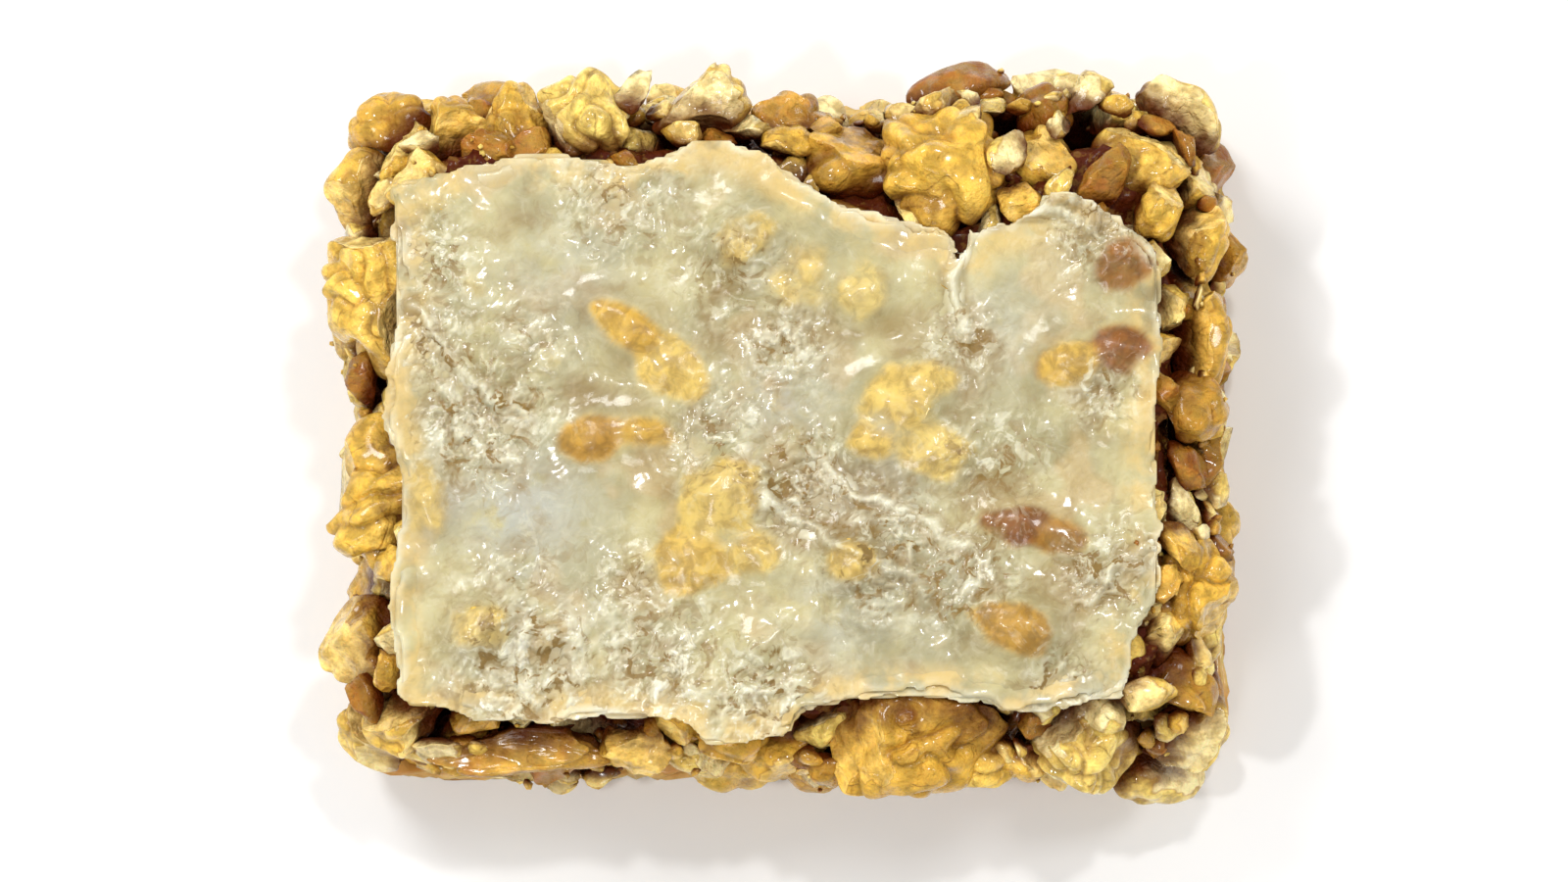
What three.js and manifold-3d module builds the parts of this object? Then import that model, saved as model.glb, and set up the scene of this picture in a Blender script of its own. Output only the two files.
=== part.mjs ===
// A cut piece of nut-filled baklava: a stack of soaked base pastry, a thick layer of chopped walnuts that
// runs through to all four cut sides, the larger walnut pieces that stand out of the rim, and a thin top
// pastry that sags over the nuts. Millimetres, +Z up, +X along the long side, origin at the centre of the
// footprint on the surface that the piece rests on.
import * as THREE from "three";
import { mergeVertices } from "three/addons/utils/BufferGeometryUtils.js";
import Module from "manifold-3d";

// Driving dimensions of the piece as cut.
const PIECE_WIDTH = 53.6;
const PIECE_DEPTH = 41.2;
const BASE_HEIGHT = 3.6;
const FILLING_HEIGHT = 11.0;
const TOP_THICKNESS = 1.1;
const LAYER_GAP = 0.3;

// Base pastry: bundles of sheets, whose cut edges step in and out by turns.
const BASE_BUNDLES = 3;
const BASE_STEP = 0.4;
const BASE_WAVE = 2.6;
const BASE_CORNER = 2.4;
const BASE_SAG = 0.35;

// Filling: chopped walnuts as lumps that stand out of a block with rounded shoulders.
const FILLING_INSET = 2.3;
const FILLING_SHOULDER = 2.6;
const LUMP_SPACING = 5.8;
const LUMP_HEIGHT = 3.6;
const LUMP_UNEVENNESS = 0.5;

// Large walnut pieces: [name, place of the centre, size along x, y and z, turn in degrees].
const WALNUTS = [
  ["walnut_back", [10.5, 16.4, 14.4], [8.6, 9.4, 7.4], 20],
  ["walnut_back_left", [-12.3, 18.9, 13.4], [6.8, 6.4, 6.2], -35],
  ["walnut_left_back", [-24.4, 8.7, 13.4], [7.6, 11.2, 6.8], 8],
  ["walnut_left_front", [-24.3, -3.8, 12.6], [8.0, 11.4, 7.2], -12],
  ["walnut_front", [7.8, -19.3, 13.2], [12.0, 7.4, 7.2], 6],
  ["walnut_front_right", [18.1, -19.2, 11.6], [7.4, 7.2, 6.6], 40],
  ["walnut_right", [25.0, -10.2, 12.6], [6.8, 7.6, 6.8], -20],
];
const WALNUT_DETAIL = 2;
const WALNUT_FOLD = 0.09;
const WALNUT_FACES = 3;
const WALNUT_FACE_DEPTH = 0.3;
const POCKET_GAP = 0.3;

// Top pastry: it rests on every nut within its reach, and falls away beside it at its steepest slope.
const DRAPE_REACH = 1.5;
const DRAPE_SLOPE = 0.9;
const DRAPE_FALL = 3.4;
const CRINKLE_HEIGHT = 0.45;
const CRINKLE_LENGTH = 2.2;
const EDGE_THINNING = 0.4;
const EDGE_BAND = 0.88;

// Grid steps along the width, the depth and the height.
const BASE_GRID = [18, 14, 2 * BASE_BUNDLES];
const FILLING_GRID = [24, 18, 6];
const TOP_GRID = [28, 21, 1];

// The torn rim of the top pastry, one line for each side, as [x, y] points that share the corners.
const RIM_BACK = [
  [-24.4, 15.1], [-19.0, 16.5], [-14.0, 17.2], [-8.8, 16.5], [-4.5, 18.1], [-1.4, 17.3], [2.1, 14.9],
  [5.6, 13.4], [10.3, 12.4], [14.6, 12.4], [17.3, 14.6], [20.4, 13.4], [23.6, 11.0],
];
const RIM_RIGHT = [[21.6, -17.1], [22.4, -13.2], [23.8, -10.4], [23.5, -2.0], [24.0, 5.0], [23.6, 11.0]];
const RIM_FRONT = [
  [-23.7, -17.4], [-16.2, -18.8], [-6.5, -18.4], [-4.5, -20.0], [0.5, -19.4], [1.7, -18.0], [9.5, -17.1],
  [15.0, -18.2], [21.6, -17.1],
];
const RIM_LEFT = [[-23.7, -17.4], [-24.4, -10.4], [-23.5, -4.0], [-24.8, 0.5], [-23.9, 8.0], [-24.4, 15.1]];

const { degToRad, smoothstep } = THREE.MathUtils;
const wasm = await Module();
wasm.setup();

// A repeatable number from 0 to 1 for three whole numbers and a salt.
function scatter(i, j, k, salt) {
  const s = Math.sin(i * 127.1 + j * 311.7 + k * 74.7 + salt * 19.3) * 43758.5453;
  return s - Math.floor(s);
}

// Bumps from 0 to 1 like nuts packed side by side: one for each cell of a lattice, at its own level.
function lumps(x, y, z) {
  const [ci, cj, ck] = [x, y, z].map((v) => Math.floor(v / LUMP_SPACING));
  let highest = 0;
  for (let i = ci - 1; i <= ci + 1; i++) {
    for (let j = cj - 1; j <= cj + 1; j++) {
      for (let k = ck - 1; k <= ck + 1; k++) {
        const centre = [i, j, k].map((c, axis) => (c + scatter(i, j, k, axis)) * LUMP_SPACING);
        const away = Math.hypot(x - centre[0], y - centre[1], z - centre[2]) / LUMP_SPACING;
        const level = 1 - LUMP_UNEVENNESS * scatter(i, j, k, 3);
        highest = Math.max(highest, level - away * away);
      }
    }
  }
  return highest;
}

// A low uneven wave from -1 to 1.
function ripple(x, y, length) {
  const bend = Math.sin((x * 0.6 - y * 0.8) / length + 1.7);
  return Math.sin((x * 0.9 + y * 0.5) / length + 2.2 * bend) * Math.cos((y - 0.4 * x) / length + bend);
}

// A geometry whose vertices are shared and each moved by place(point), which changes a THREE.Vector3.
function shaped(geometry, place) {
  geometry.deleteAttribute("normal");
  geometry.deleteAttribute("uv");
  const merged = mergeVertices(geometry);
  const position = merged.attributes.position;
  const point = new THREE.Vector3();
  for (let n = 0; n < position.count; n++) {
    point.fromBufferAttribute(position, n);
    place(point);
    position.setXYZ(n, point.x, point.y, point.z);
  }
  merged.computeVertexNormals();
  return merged;
}

// Brings a point of a box within the given radius of the box's core, and returns the way out of it.
function roundOff(point, lowest, highest, radius) {
  const core = point.clone().clamp(lowest, highest);
  const out = point.clone().sub(core);
  if (out.length() > radius) out.setLength(radius);
  point.copy(core).add(out);
  return out.normalize();
}

// Base pastry: a flat underside, a top that sags a little, and bundles that step at the cut sides.
function basePastry() {
  const [reachX, reachY] = [PIECE_WIDTH, PIECE_DEPTH].map((side) => side / 2 - BASE_CORNER);
  const reach = new THREE.Vector3(reachX, reachY, BASE_HEIGHT);
  const lowest = reach.clone().negate();
  return shaped(new THREE.BoxGeometry(PIECE_WIDTH, PIECE_DEPTH, BASE_HEIGHT, ...BASE_GRID), (point) => {
    const share = point.z / BASE_HEIGHT + 0.5;
    const row = Math.round(share * BASE_GRID[2]);
    const out = roundOff(point, lowest, reach, BASE_CORNER);
    const turn = row % 2 ? 0 : -1;
    const step = BASE_STEP * (turn + 0.6 * ripple(point.x + 7 * row, point.y - 5 * row, BASE_WAVE));
    point.addScaledVector(out, step);
    point.z = share * (BASE_HEIGHT - BASE_SAG * (0.5 + 0.5 * ripple(point.x, point.y, 2 * BASE_WAVE)));
  });
}

// One broken piece of walnut kernel: a folded round lump with a few flat broken faces.
function walnut([, place, size, turn], seed) {
  const broken = [];
  for (let n = 0; n < WALNUT_FACES; n++) {
    const [a, b, c] = [0, 1, 2].map((axis) => scatter(seed, n, axis, 5) - 0.5);
    broken.push(new THREE.Vector3(a, b, c).normalize());
  }
  const geometry = shaped(new THREE.IcosahedronGeometry(1, WALNUT_DETAIL), (point) => {
    const fold = Math.sin(4.2 * point.x + seed) * Math.cos(3.6 * point.y - 2 * seed + 2 * point.z);
    point.multiplyScalar(1 + WALNUT_FOLD * fold);
    for (const face of broken) {
      const proud = point.dot(face) - (1 - WALNUT_FACE_DEPTH);
      if (proud > 0) point.addScaledVector(face, -proud);
    }
  });
  geometry.scale(size[0] / 2, size[1] / 2, size[2] / 2);
  geometry.rotateZ(degToRad(turn));
  return geometry.translate(...place);
}

// Conversions to and from the solids that can be cut.
function solidOf(geometry) {
  const vertProperties = Float32Array.from(geometry.attributes.position.array);
  return new wasm.Manifold(new wasm.Mesh({ numProp: 3, vertProperties, triVerts: geometry.index.array }));
}

function geometryOf(solid) {
  const mesh = solid.getMesh();
  const geometry = new THREE.BufferGeometry();
  geometry.setAttribute("position", new THREE.BufferAttribute(mesh.vertProperties, 3));
  geometry.setIndex(new THREE.BufferAttribute(mesh.triVerts, 1));
  geometry.computeVertexNormals();
  return geometry;
}

// The space that a walnut piece takes out of the filling: the piece, larger by the gap all round.
function pocket(geometry) {
  const box = new THREE.Box3().setFromBufferAttribute(geometry.attributes.position);
  const middle = box.getCenter(new THREE.Vector3());
  const size = box.getSize(new THREE.Vector3());
  const grown = size.clone().addScalar(2 * POCKET_GAP).divide(size);
  const space = geometry.clone().translate(-middle.x, -middle.y, -middle.z);
  space.scale(grown.x, grown.y, grown.z);
  return solidOf(space.translate(middle.x, middle.y, middle.z));
}

// Filling: walnut lumps on the sides and the top of the block, with a pocket for each large piece.
function nutFilling(pieces) {
  const size = [PIECE_WIDTH - 2 * FILLING_INSET, PIECE_DEPTH - 2 * FILLING_INSET, FILLING_HEIGHT];
  const bottom = BASE_HEIGHT + LAYER_GAP;
  const highest = new THREE.Vector3(...size).multiplyScalar(0.5).subScalar(FILLING_SHOULDER);
  const lowest = highest.clone().negate().setZ(-FILLING_HEIGHT);
  const block = shaped(new THREE.BoxGeometry(...size, ...FILLING_GRID), (point) => {
    const out = roundOff(point, lowest, highest, FILLING_SHOULDER);
    point.z += bottom + FILLING_HEIGHT / 2;
    point.addScaledVector(out, LUMP_HEIGHT * lumps(point.x, point.y, point.z));
  });
  let solid = solidOf(block);
  for (const geometry of pieces) solid = solid.subtract(pocket(geometry));
  return geometryOf(solid);
}

// Top pastry: the height that it rests at over a place, on the vertices of all that lies under it.
function restingHeight(x, y, under, level) {
  let highest = level;
  for (const vertex of under) {
    const beside = Math.max(0, Math.hypot(x - vertex.x, y - vertex.y) - DRAPE_REACH);
    highest = Math.max(highest, vertex.z - DRAPE_SLOPE * beside);
  }
  return highest + LAYER_GAP;
}

function rimLine(points) {
  const places = points.map(([x, y]) => new THREE.Vector3(x, y, 0));
  return new THREE.CatmullRomCurve3(places, false, "centripetal");
}

const [BACK, RIGHT, FRONT, LEFT] = [RIM_BACK, RIM_RIGHT, RIM_FRONT, RIM_LEFT].map(rimLine);

// The place inside the rim for shares u and v of the width and the depth, blended from its four sides.
function insideRim(u, v) {
  const place = FRONT.getPoint(u).multiplyScalar(1 - v).addScaledVector(BACK.getPoint(u), v);
  place.addScaledVector(LEFT.getPoint(v), 1 - u).addScaledVector(RIGHT.getPoint(v), u);
  place.addScaledVector(FRONT.getPoint(0), (u - 1) * (1 - v)).addScaledVector(BACK.getPoint(0), (u - 1) * v);
  return place.addScaledVector(FRONT.getPoint(1), u * (v - 1)).addScaledVector(BACK.getPoint(1), -u * v);
}

function topPastry(geometries) {
  const under = [];
  for (const geometry of geometries) {
    const position = geometry.attributes.position;
    for (let n = 0; n < position.count; n++) {
      under.push(new THREE.Vector3().fromBufferAttribute(position, n));
    }
  }
  const peak = Math.max(...under.map((vertex) => vertex.z));
  return shaped(new THREE.BoxGeometry(2, 2, 2, ...TOP_GRID), (point) => {
    const place = insideRim((point.x + 1) / 2, (point.y + 1) / 2);
    const thin = EDGE_THINNING * smoothstep(Math.max(Math.abs(point.x), Math.abs(point.y)), EDGE_BAND, 1);
    const crinkle = CRINKLE_HEIGHT * (0.5 + 0.5 * ripple(place.x, place.y, CRINKLE_LENGTH));
    const thickness = point.z > 0 ? TOP_THICKNESS + crinkle - thin : 0;
    place.z = restingHeight(place.x, place.y, under, peak - DRAPE_FALL) + thickness;
    point.copy(place);
  });
}

function piece(name, geometry, colour, roughness) {
  const food = new THREE.MeshStandardMaterial({ color: colour, roughness, metalness: 0 });
  const mesh = new THREE.Mesh(geometry, food);
  mesh.name = name;
  return mesh;
}

const walnuts = WALNUTS.map(walnut);
const filling = nutFilling(walnuts);
const baklava = new THREE.Group();
baklava.add(
  piece("base_pastry", basePastry(), 0xc9a05a, 0.35),
  piece("nut_filling", filling, 0xc8974c, 0.45),
  piece("top_pastry", topPastry([filling, ...walnuts]), 0xd6c898, 0.3),
  ...walnuts.map((geometry, n) => piece(WALNUTS[n][0], geometry, 0xdca94e, 0.4)),
);

// The origin stands at the middle of the footprint.
const bounds = new THREE.Box3().setFromObject(baklava);
const middle = bounds.getCenter(new THREE.Vector3());
baklava.children.forEach((mesh) => mesh.position.set(-middle.x, -middle.y, 0));

export default baklava;
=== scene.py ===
"""The looks of one cut piece of walnut baklava, built around its solid model.

Soaked base pastry, chopped walnuts that show on all four cut sides, larger walnut pieces that stand out of
the rim, and sheer top pastry that clings to the nuts below it. Metres, +Z up.
"""

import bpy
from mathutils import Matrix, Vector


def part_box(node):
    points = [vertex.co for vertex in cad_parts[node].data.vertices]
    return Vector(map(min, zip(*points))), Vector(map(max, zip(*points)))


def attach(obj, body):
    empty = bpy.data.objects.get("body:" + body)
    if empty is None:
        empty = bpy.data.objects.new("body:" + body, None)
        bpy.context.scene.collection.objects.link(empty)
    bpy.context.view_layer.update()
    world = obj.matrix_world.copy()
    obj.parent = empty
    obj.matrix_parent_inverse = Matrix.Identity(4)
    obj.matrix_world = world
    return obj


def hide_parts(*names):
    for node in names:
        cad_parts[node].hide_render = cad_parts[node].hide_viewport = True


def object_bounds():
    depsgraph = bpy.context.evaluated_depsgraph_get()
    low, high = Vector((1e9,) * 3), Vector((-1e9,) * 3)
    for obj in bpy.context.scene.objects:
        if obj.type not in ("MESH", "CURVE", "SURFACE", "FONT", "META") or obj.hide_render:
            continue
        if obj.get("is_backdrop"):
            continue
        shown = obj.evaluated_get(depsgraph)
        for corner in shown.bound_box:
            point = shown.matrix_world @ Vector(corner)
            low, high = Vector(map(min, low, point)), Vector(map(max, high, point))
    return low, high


bl_info = {
    "name": "Walnut Baklava Piece",
    "version": (1, 0, 0),
    "blender": (4, 5, 0),
    "location": "3D View > Sidebar > Baklava",
    "description": "Builds a cut piece of walnut baklava and the stage that it lies on",
    "category": "Add Mesh",
}

import itertools
import math
import random

import bmesh
import bpy
import numpy as np
from mathutils import Matrix, Quaternion, Vector, noise
from mathutils.bvhtree import BVHTree
from mathutils.kdtree import KDTree

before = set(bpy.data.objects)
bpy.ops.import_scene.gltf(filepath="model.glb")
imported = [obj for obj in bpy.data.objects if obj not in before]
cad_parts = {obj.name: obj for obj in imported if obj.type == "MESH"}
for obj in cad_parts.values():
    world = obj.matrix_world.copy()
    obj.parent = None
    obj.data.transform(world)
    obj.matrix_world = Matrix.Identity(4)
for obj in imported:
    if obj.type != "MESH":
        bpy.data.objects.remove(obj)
CAD_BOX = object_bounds()
BASE_LOW, BASE_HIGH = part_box("base_pastry")
FILLING_LOW, FILLING_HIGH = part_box("nut_filling")
TOP_LOW, TOP_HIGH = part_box("top_pastry")
MIDDLE = (BASE_LOW + BASE_HIGH) / 2
BASE_HALF = (BASE_HIGH - BASE_LOW) / 2
LARGE_WALNUTS = sorted(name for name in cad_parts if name.startswith("walnut_"))
MM = 0.001
UP = Vector((0.0, 0.0, 1.0))
ABOVE_ALL = TOP_HIGH.z + 20 * MM

# The heart is a box deep in the filling. The way out of the filling is the way away from it.
HEART_DEPTH = 7 * MM
HEART_HEIGHT = 6 * MM
HEART_HALF = BASE_HALF - Vector((HEART_DEPTH, HEART_DEPTH, 0.0))
HEART_LOW = Vector((MIDDLE.x - HEART_HALF.x, MIDDLE.y - HEART_HALF.y, FILLING_LOW.z))
HEART_HIGH = Vector((MIDDLE.x + HEART_HALF.x, MIDDLE.y + HEART_HALF.y, FILLING_LOW.z + HEART_HEIGHT))

# Noise vectors depend on the clock unless a seed is set.
NOISE_SEED = 3
noise.seed_set(NOISE_SEED)

# Chopped walnut kinds: piece name, least and most radius in mm, detail of the round start, how many shapes,
# and how close two pieces may lie, as a share of their radii.
CHOP_KINDS = [
    ("Chopped_walnut_coarse", 1.8, 3.1, 4, 14, 0.8),
    ("Chopped_walnut_medium", 1.0, 1.7, 3, 24, 0.72),
    ("Chopped_walnut_fine", 0.5, 0.95, 2, 24, 0.62),
]
CRUMB_RADIUS = (0.15, 0.4)
CRUMB_REACH = 8 * MM

# How much of a large walnut's radius counts when the others keep away from it, how often a piece looks for a
# free spot, and how steep the way out is where a spot counts as facing up.
CROWD_SHARE = 0.85
TRIES = 40
FACING_UP = 0.5

# What the walnut finish reads at each vertex.
WALNUT_ATTRIBUTES = ("skin", "fold", "tone", "out", "proud", "shows")

# Tones of the chopped walnuts, from pale, 0 or less, to brown, 1 or more: the share of the pieces up to each
# row, and its least and most tone.
NUT_TONES = [
    (0.3, -0.2, 0.05),
    (0.6, 0.15, 0.42),
    (0.86, 0.5, 0.78),
    (1.0, 0.85, 1.1),
]

# Tone of each large walnut piece.
LARGE_TONES = {
    "walnut_back": 0.42,
    "walnut_back_left": -0.1,
    "walnut_left_back": 0.3,
    "walnut_left_front": 0.36,
    "walnut_front": 0.6,
    "walnut_front_right": -0.15,
    "walnut_right": 0.52,
}

# Walnut pieces that show through the top pastry: place from the middle in mm, length, width, turn in
# degrees, tone, and how strongly each shows.
SEEN_THICKNESS = 0.8
SEEN_DEPTH = 0.35 * MM
SEEN_WALNUTS = [
    (-9.6, 6.2, 5.2, 2.8, -38, 0.62, 1.0),
    (-7.1, 3.9, 6.6, 4.0, -52, 0.34, 1.0),
    (-11.4, -0.8, 5.0, 3.2, 10, 0.76, 1.0),
    (-8.1, -0.5, 3.8, 2.2, -8, 0.6, 0.6),
    (8.2, 1.3, 6.8, 5.4, 12, 0.3, 1.0),
    (9.4, -1.5, 5.4, 4.2, -20, 0.22, 1.0),
    (5.9, -1.0, 3.4, 2.8, 0, 0.36, 0.7),
    (-3.5, -4.5, 6.0, 5.0, 20, 0.28, 1.0),
    (-5.2, -8.1, 6.2, 5.0, 62, 0.42, 1.0),
    (-1.6, -7.8, 4.0, 3.4, 0, 0.3, 0.6),
    (14.6, -6.4, 5.0, 2.8, -4, 1.0, 1.0),
    (17.2, -7.1, 4.4, 2.6, -16, 0.85, 0.9),
    (14.2, -12.6, 6.0, 3.4, -20, 0.74, 0.7),
    (18.0, 3.6, 4.2, 3.0, 16, 0.5, 1.0),
    (21.0, 4.5, 5.2, 3.4, 5, 1.0, 0.9),
    (21.4, 9.8, 4.4, 4.0, 0, 0.95, 0.7),
    (1.1, 9.2, 5.0, 4.4, 8, 0.3, 0.4),
    (5.2, 8.2, 4.0, 3.6, 30, 0.14, 0.45),
    (-2.0, 11.5, 4.5, 3.4, 40, 0.3, 0.4),
    (4.6, -8.6, 3.4, 2.8, 20, 0.35, 0.5),
    (-18.5, -12.6, 3.8, 3.0, 0, 0.25, 0.5),
    (-21.8, -4.6, 3.2, 5.0, 0, 0.3, 0.4),
]

# Walnut pieces that stand at the rim beside the top pastry: the same, with the height of their top in mm
# in the last place.
RIM_THICKNESS = 0.9
RIM_SHOWS = 0.4
RIM_WALNUTS = [
    (4.4, 16.4, 5.2, 6.2, 80, 0.72, 16.6),
    (-20.4, 18.2, 5.4, 4.4, 70, 0.6, 15.4),
    (-16.6, 19.2, 5.6, 4.4, 100, 0.4, 15.0),
    (16.9, 16.4, 5.6, 4.6, -30, 0.55, 16.2),
    (22.2, 16.6, 6.8, 5.0, 15, 0.36, 15.8),
    (25.6, 11.8, 5.4, 4.6, 80, 0.4, 14.4),
    (26.0, 5.4, 6.6, 4.0, 85, 0.62, 13.8),
    (25.6, -1.4, 5.6, 4.2, 60, 0.95, 13.2),
    (24.6, -16.2, 5.6, 4.6, -40, 0.78, 14.2),
    (12.4, -20.6, 5.0, 3.8, 10, 0.28, 13.8),
    (-3.0, -19.2, 4.6, 3.6, 0, 0.6, 15.6),
    (-16.4, -19.9, 11.6, 3.4, 2, 0.8, 14.4),
    (-9.0, -19.7, 4.6, 3.6, -12, 0.5, 14.6),
    (-23.4, -18.2, 5.8, 4.4, 10, 0.36, 14.8),
    (-26.0, -13.2, 6.2, 5.6, 45, 0.4, 14.6),
    (-5.2, 20.2, 6.4, 4.4, 20, 0.08, 14.8),
    (0.2, 19.2, 4.4, 4.4, 0, 0.85, 13.4),
    (-26.2, 15.0, 5.4, 4.8, 60, 0.4, 14.0),
    (-24.6, 19.0, 5.4, 4.8, 40, 0.55, 13.6),
    (24.8, 19.6, 6.2, 4.4, -35, 0.06, 13.2),
    (-25.6, -18.6, 5.0, 4.4, -40, 0.22, 11.0),
    (25.4, -18.8, 5.8, 4.6, 50, 0.04, 12.4),
]

# Dark pits between the nuts at the rim: place from the middle and radius in mm. Nuts stay further off by a
# share of it.
PIT_ROOM = 1.4
PITS = [
    (-8.4, 18.6, 1.5),
    (-0.4, 18.9, 1.5),
    (14.4, 19.6, 1.3),
    (17.0, 17.2, 1.3),
    (-25.4, 16.0, 1.0),
    (-20.4, 16.0, 1.0),
    (-27.0, 3.0, 1.1),
    (11.1, 11.3, 1.2),
    (25.6, 9.4, 1.5),
    (24.6, -1.2, 1.3),
    (24.9, -4.6, 1.3),
    (23.6, -14.4, 1.2),
    (2.0, -18.8, 1.3),
    (13.9, -19.4, 1.1),
    (-12.6, -20.9, 0.8),
    (-2.6, -20.9, 0.9),
    (-25.4, -11.2, 1.1),
    (-14.6, 20.2, 1.2),
    (4.4, 19.4, 1.2),
    (21.6, 18.6, 1.2),
    (26.0, 14.4, 1.1),
    (25.8, 4.4, 1.2),
    (-26.6, -14.6, 1.1),
    (-26.4, 15.6, 1.0),
    (-18.6, -20.6, 1.0),
    (-7.4, -20.4, 1.0),
    (22.0, -19.6, 1.2),
    (-10.0, 21.4, 1.1),
    (8.2, 21.2, 1.1),
    (19.6, 19.4, 1.2),
    (-27.4, 12.4, 1.0),
    (-27.2, -7.4, 1.0),
    (27.0, -6.2, 1.0),
    (-22.0, -20.8, 0.9),
]

# Where the top pastry is crinkled: place from the middle and reach in mm, and how strongly.
CRINKLED = [
    (-21.4, 10.6, 2.2, 0.8),
    (-21.2, 5.4, 2.4, 0.8),
    (-18.6, 0.6, 3.8, 1.0),
    (-15.8, 5.0, 2.6, 0.5),
    (-10.0, 13.8, 3.4, 0.6),
    (-3.0, 9.6, 3.2, 0.6),
    (0.2, 5.0, 2.6, 0.7),
    (-3.6, -1.0, 2.8, 0.8),
    (1.8, -4.2, 3.2, 1.0),
    (6.6, -8.0, 3.4, 1.0),
    (11.6, -9.4, 3.0, 0.9),
    (20.6, -9.2, 2.8, 0.9),
    (20.0, 2.0, 2.0, 0.8),
    (13.2, -2.4, 3.0, 0.7),
    (20.2, 13.0, 3.2, 0.9),
    (-15.6, -15.0, 4.0, 1.0),
    (-7.4, -14.2, 3.6, 0.8),
    (-1.0, -16.6, 3.2, 0.9),
    (-16.4, -9.4, 3.2, 0.4),
    (-9.4, -10.4, 2.6, 0.6),
    (17.4, -16.2, 2.4, 0.7),
    (11.4, 5.0, 2.2, 0.7),
]

# Cool grey patches of the top pastry: place from the middle and reach in mm, and how strong.
COOL = [
    (-16.0, -5.2, 4.2, 1.0),
    (-13.0, 8.6, 4.4, 0.5),
    (5.4, -4.6, 4.0, 0.9),
    (-14.6, -12.6, 3.4, 0.6),
    (4.6, -11.8, 4.2, 0.6),
    (13.2, 5.6, 3.6, 0.5),
    (0.4, 1.8, 3.2, 0.9),
    (-20.4, -4.4, 2.8, 0.8),
    (10.0, -9.4, 3.2, 0.7),
]

# Dull darker patches of the top pastry: the same.
DULL = [
    (-15.0, 5.0, 4.2, 0.8),
    (-19.0, 1.0, 3.2, 0.7),
    (-10.6, 1.6, 3.0, 0.5),
    (-4.4, 1.4, 3.2, 0.7),
    (0.6, 2.0, 3.2, 0.7),
    (4.6, -9.2, 3.2, 0.6),
    (9.8, -9.6, 3.4, 0.9),
    (15.6, -9.4, 2.8, 0.5),
    (5.4, -14.0, 3.2, 0.6),
    (20.0, 11.2, 2.8, 0.9),
    (2.2, 9.2, 2.6, 0.5),
]

# Long folds in the top pastry: height in mm, then the places along each, in mm from the middle. Each has a
# ditch on both sides.
FOLD_WIDTH = 0.28
DITCH_PLACE = 0.65
DITCH_WIDTH = 0.3
DITCH_SHARE = 0.4
FOLDS = [
    (0.3, [(-22.6, 7.2), (-20.6, 4.6), (-18.6, 1.6), (-15.4, 0.4)]),
    (0.25, [(-20.8, 2.2), (-19.2, -0.8), (-16.2, -2.6)]),
    (0.35, [(-0.8, -4.6), (2.6, -7.2), (6.6, -8.4), (9.2, -10.8)]),
    (0.25, [(1.6, -1.6), (4.4, -4.4), (8.4, -5.6), (11.6, -8.0)]),
    (0.25, [(17.2, -7.8), (20.2, -9.4), (22.6, -9.0)]),
    (0.25, [(19.0, -11.4), (21.6, -8.6), (23.2, -8.0)]),
    (0.3, [(11.2, 10.6), (10.9, 7.6), (11.6, 4.8)]),
    (0.25, [(-15.4, -12.4), (-16.4, -15.0), (-14.8, -17.4)]),
    (0.18, [(13.2, 12.6), (16.6, 13.4), (19.4, 12.2)]),
]

# A slit in the top pastry: where it ends and where it opens at the rim, and half its width there, in mm from
# the middle.
SLIT_X = 11.1
SLIT_END = 10.3
SLIT_MOUTH = 12.9
SLIT_HALF_WIDTH = 0.9
SLIT_LEAST = 0.16

# Sheets of the top pastry from the lowest: piece name, step over the grid, how far its rim lies in from the
# solid's in mm, how crinkled it is, and the nodes that it stands for.
TOP_SHEETS = [
    ("Top_pastry_lower", 2, 0.1, 0.3, []),
    ("Top_pastry_middle", 2, 0.45, 0.3, []),
    ("Top_pastry_upper", 1, 0.2, 1.0, ["top_pastry"]),
]
# What the top finish reads at each vertex: where highlight is painted on crests and shade in creases and over
# gaps, and a lighter cut edge that is partly painted highlight.
TOP_ATTRIBUTES = ("cling", "crest", "crease", "hollow", "rim", "edge", "rough", "cool", "dull")

# Lights: name, place from the middle of the piece, side, and share of the main light's power.
LIGHTS = [
    ("Main_light", (-0.22, 0.30, 0.42), 0.16, 1.0),
    ("Side_light", (0.36, 0.10, 0.36), 0.10, 0.45),
    ("Front_light", (-0.12, -0.34, 0.40), 0.12, 0.3),
    ("Back_glint", (0.10, 0.17, 0.48), 0.034, 0.45),
    ("Left_glint", (-0.20, -0.08, 0.46), 0.034, 0.45),
]


def shade(red, green, blue):
    """A shader colour from a screen's numbers, 0 to 255."""
    shares = [number / 255 for number in (red, green, blue)]
    linear = [s / 12.92 if s <= 0.04045 else ((s + 0.055) / 1.055) ** 2.4 for s in shares]
    return (*linear, 1.0)


def smoothstep(value, low, high):
    """0 below low, 1 above high, and a soft rise between them."""
    share = np.clip((value - low) / (high - low), 0.0, 1.0)
    return share * share * (3 - 2 * share)


# ---------------------------------------------------------------------------------------------- settings


def length_setting(name, description, default):
    return bpy.props.FloatProperty(
        name=name,
        description=description,
        default=default,
        min=0.0,
        precision=5,
        subtype="DISTANCE",
        unit="LENGTH",
    )


def share_setting(name, description, default, most=1.0):
    return bpy.props.FloatProperty(name=name, description=description, default=default, min=0.0, max=most)


def count_setting(name, description, default):
    return bpy.props.IntProperty(name=name, description=description, default=default, min=0)


def colour_setting(name, description, screen):
    return bpy.props.FloatVectorProperty(
        name=name, description=description, default=shade(*screen), size=4, min=0.0, max=1.0, subtype="COLOR"
    )


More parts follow.
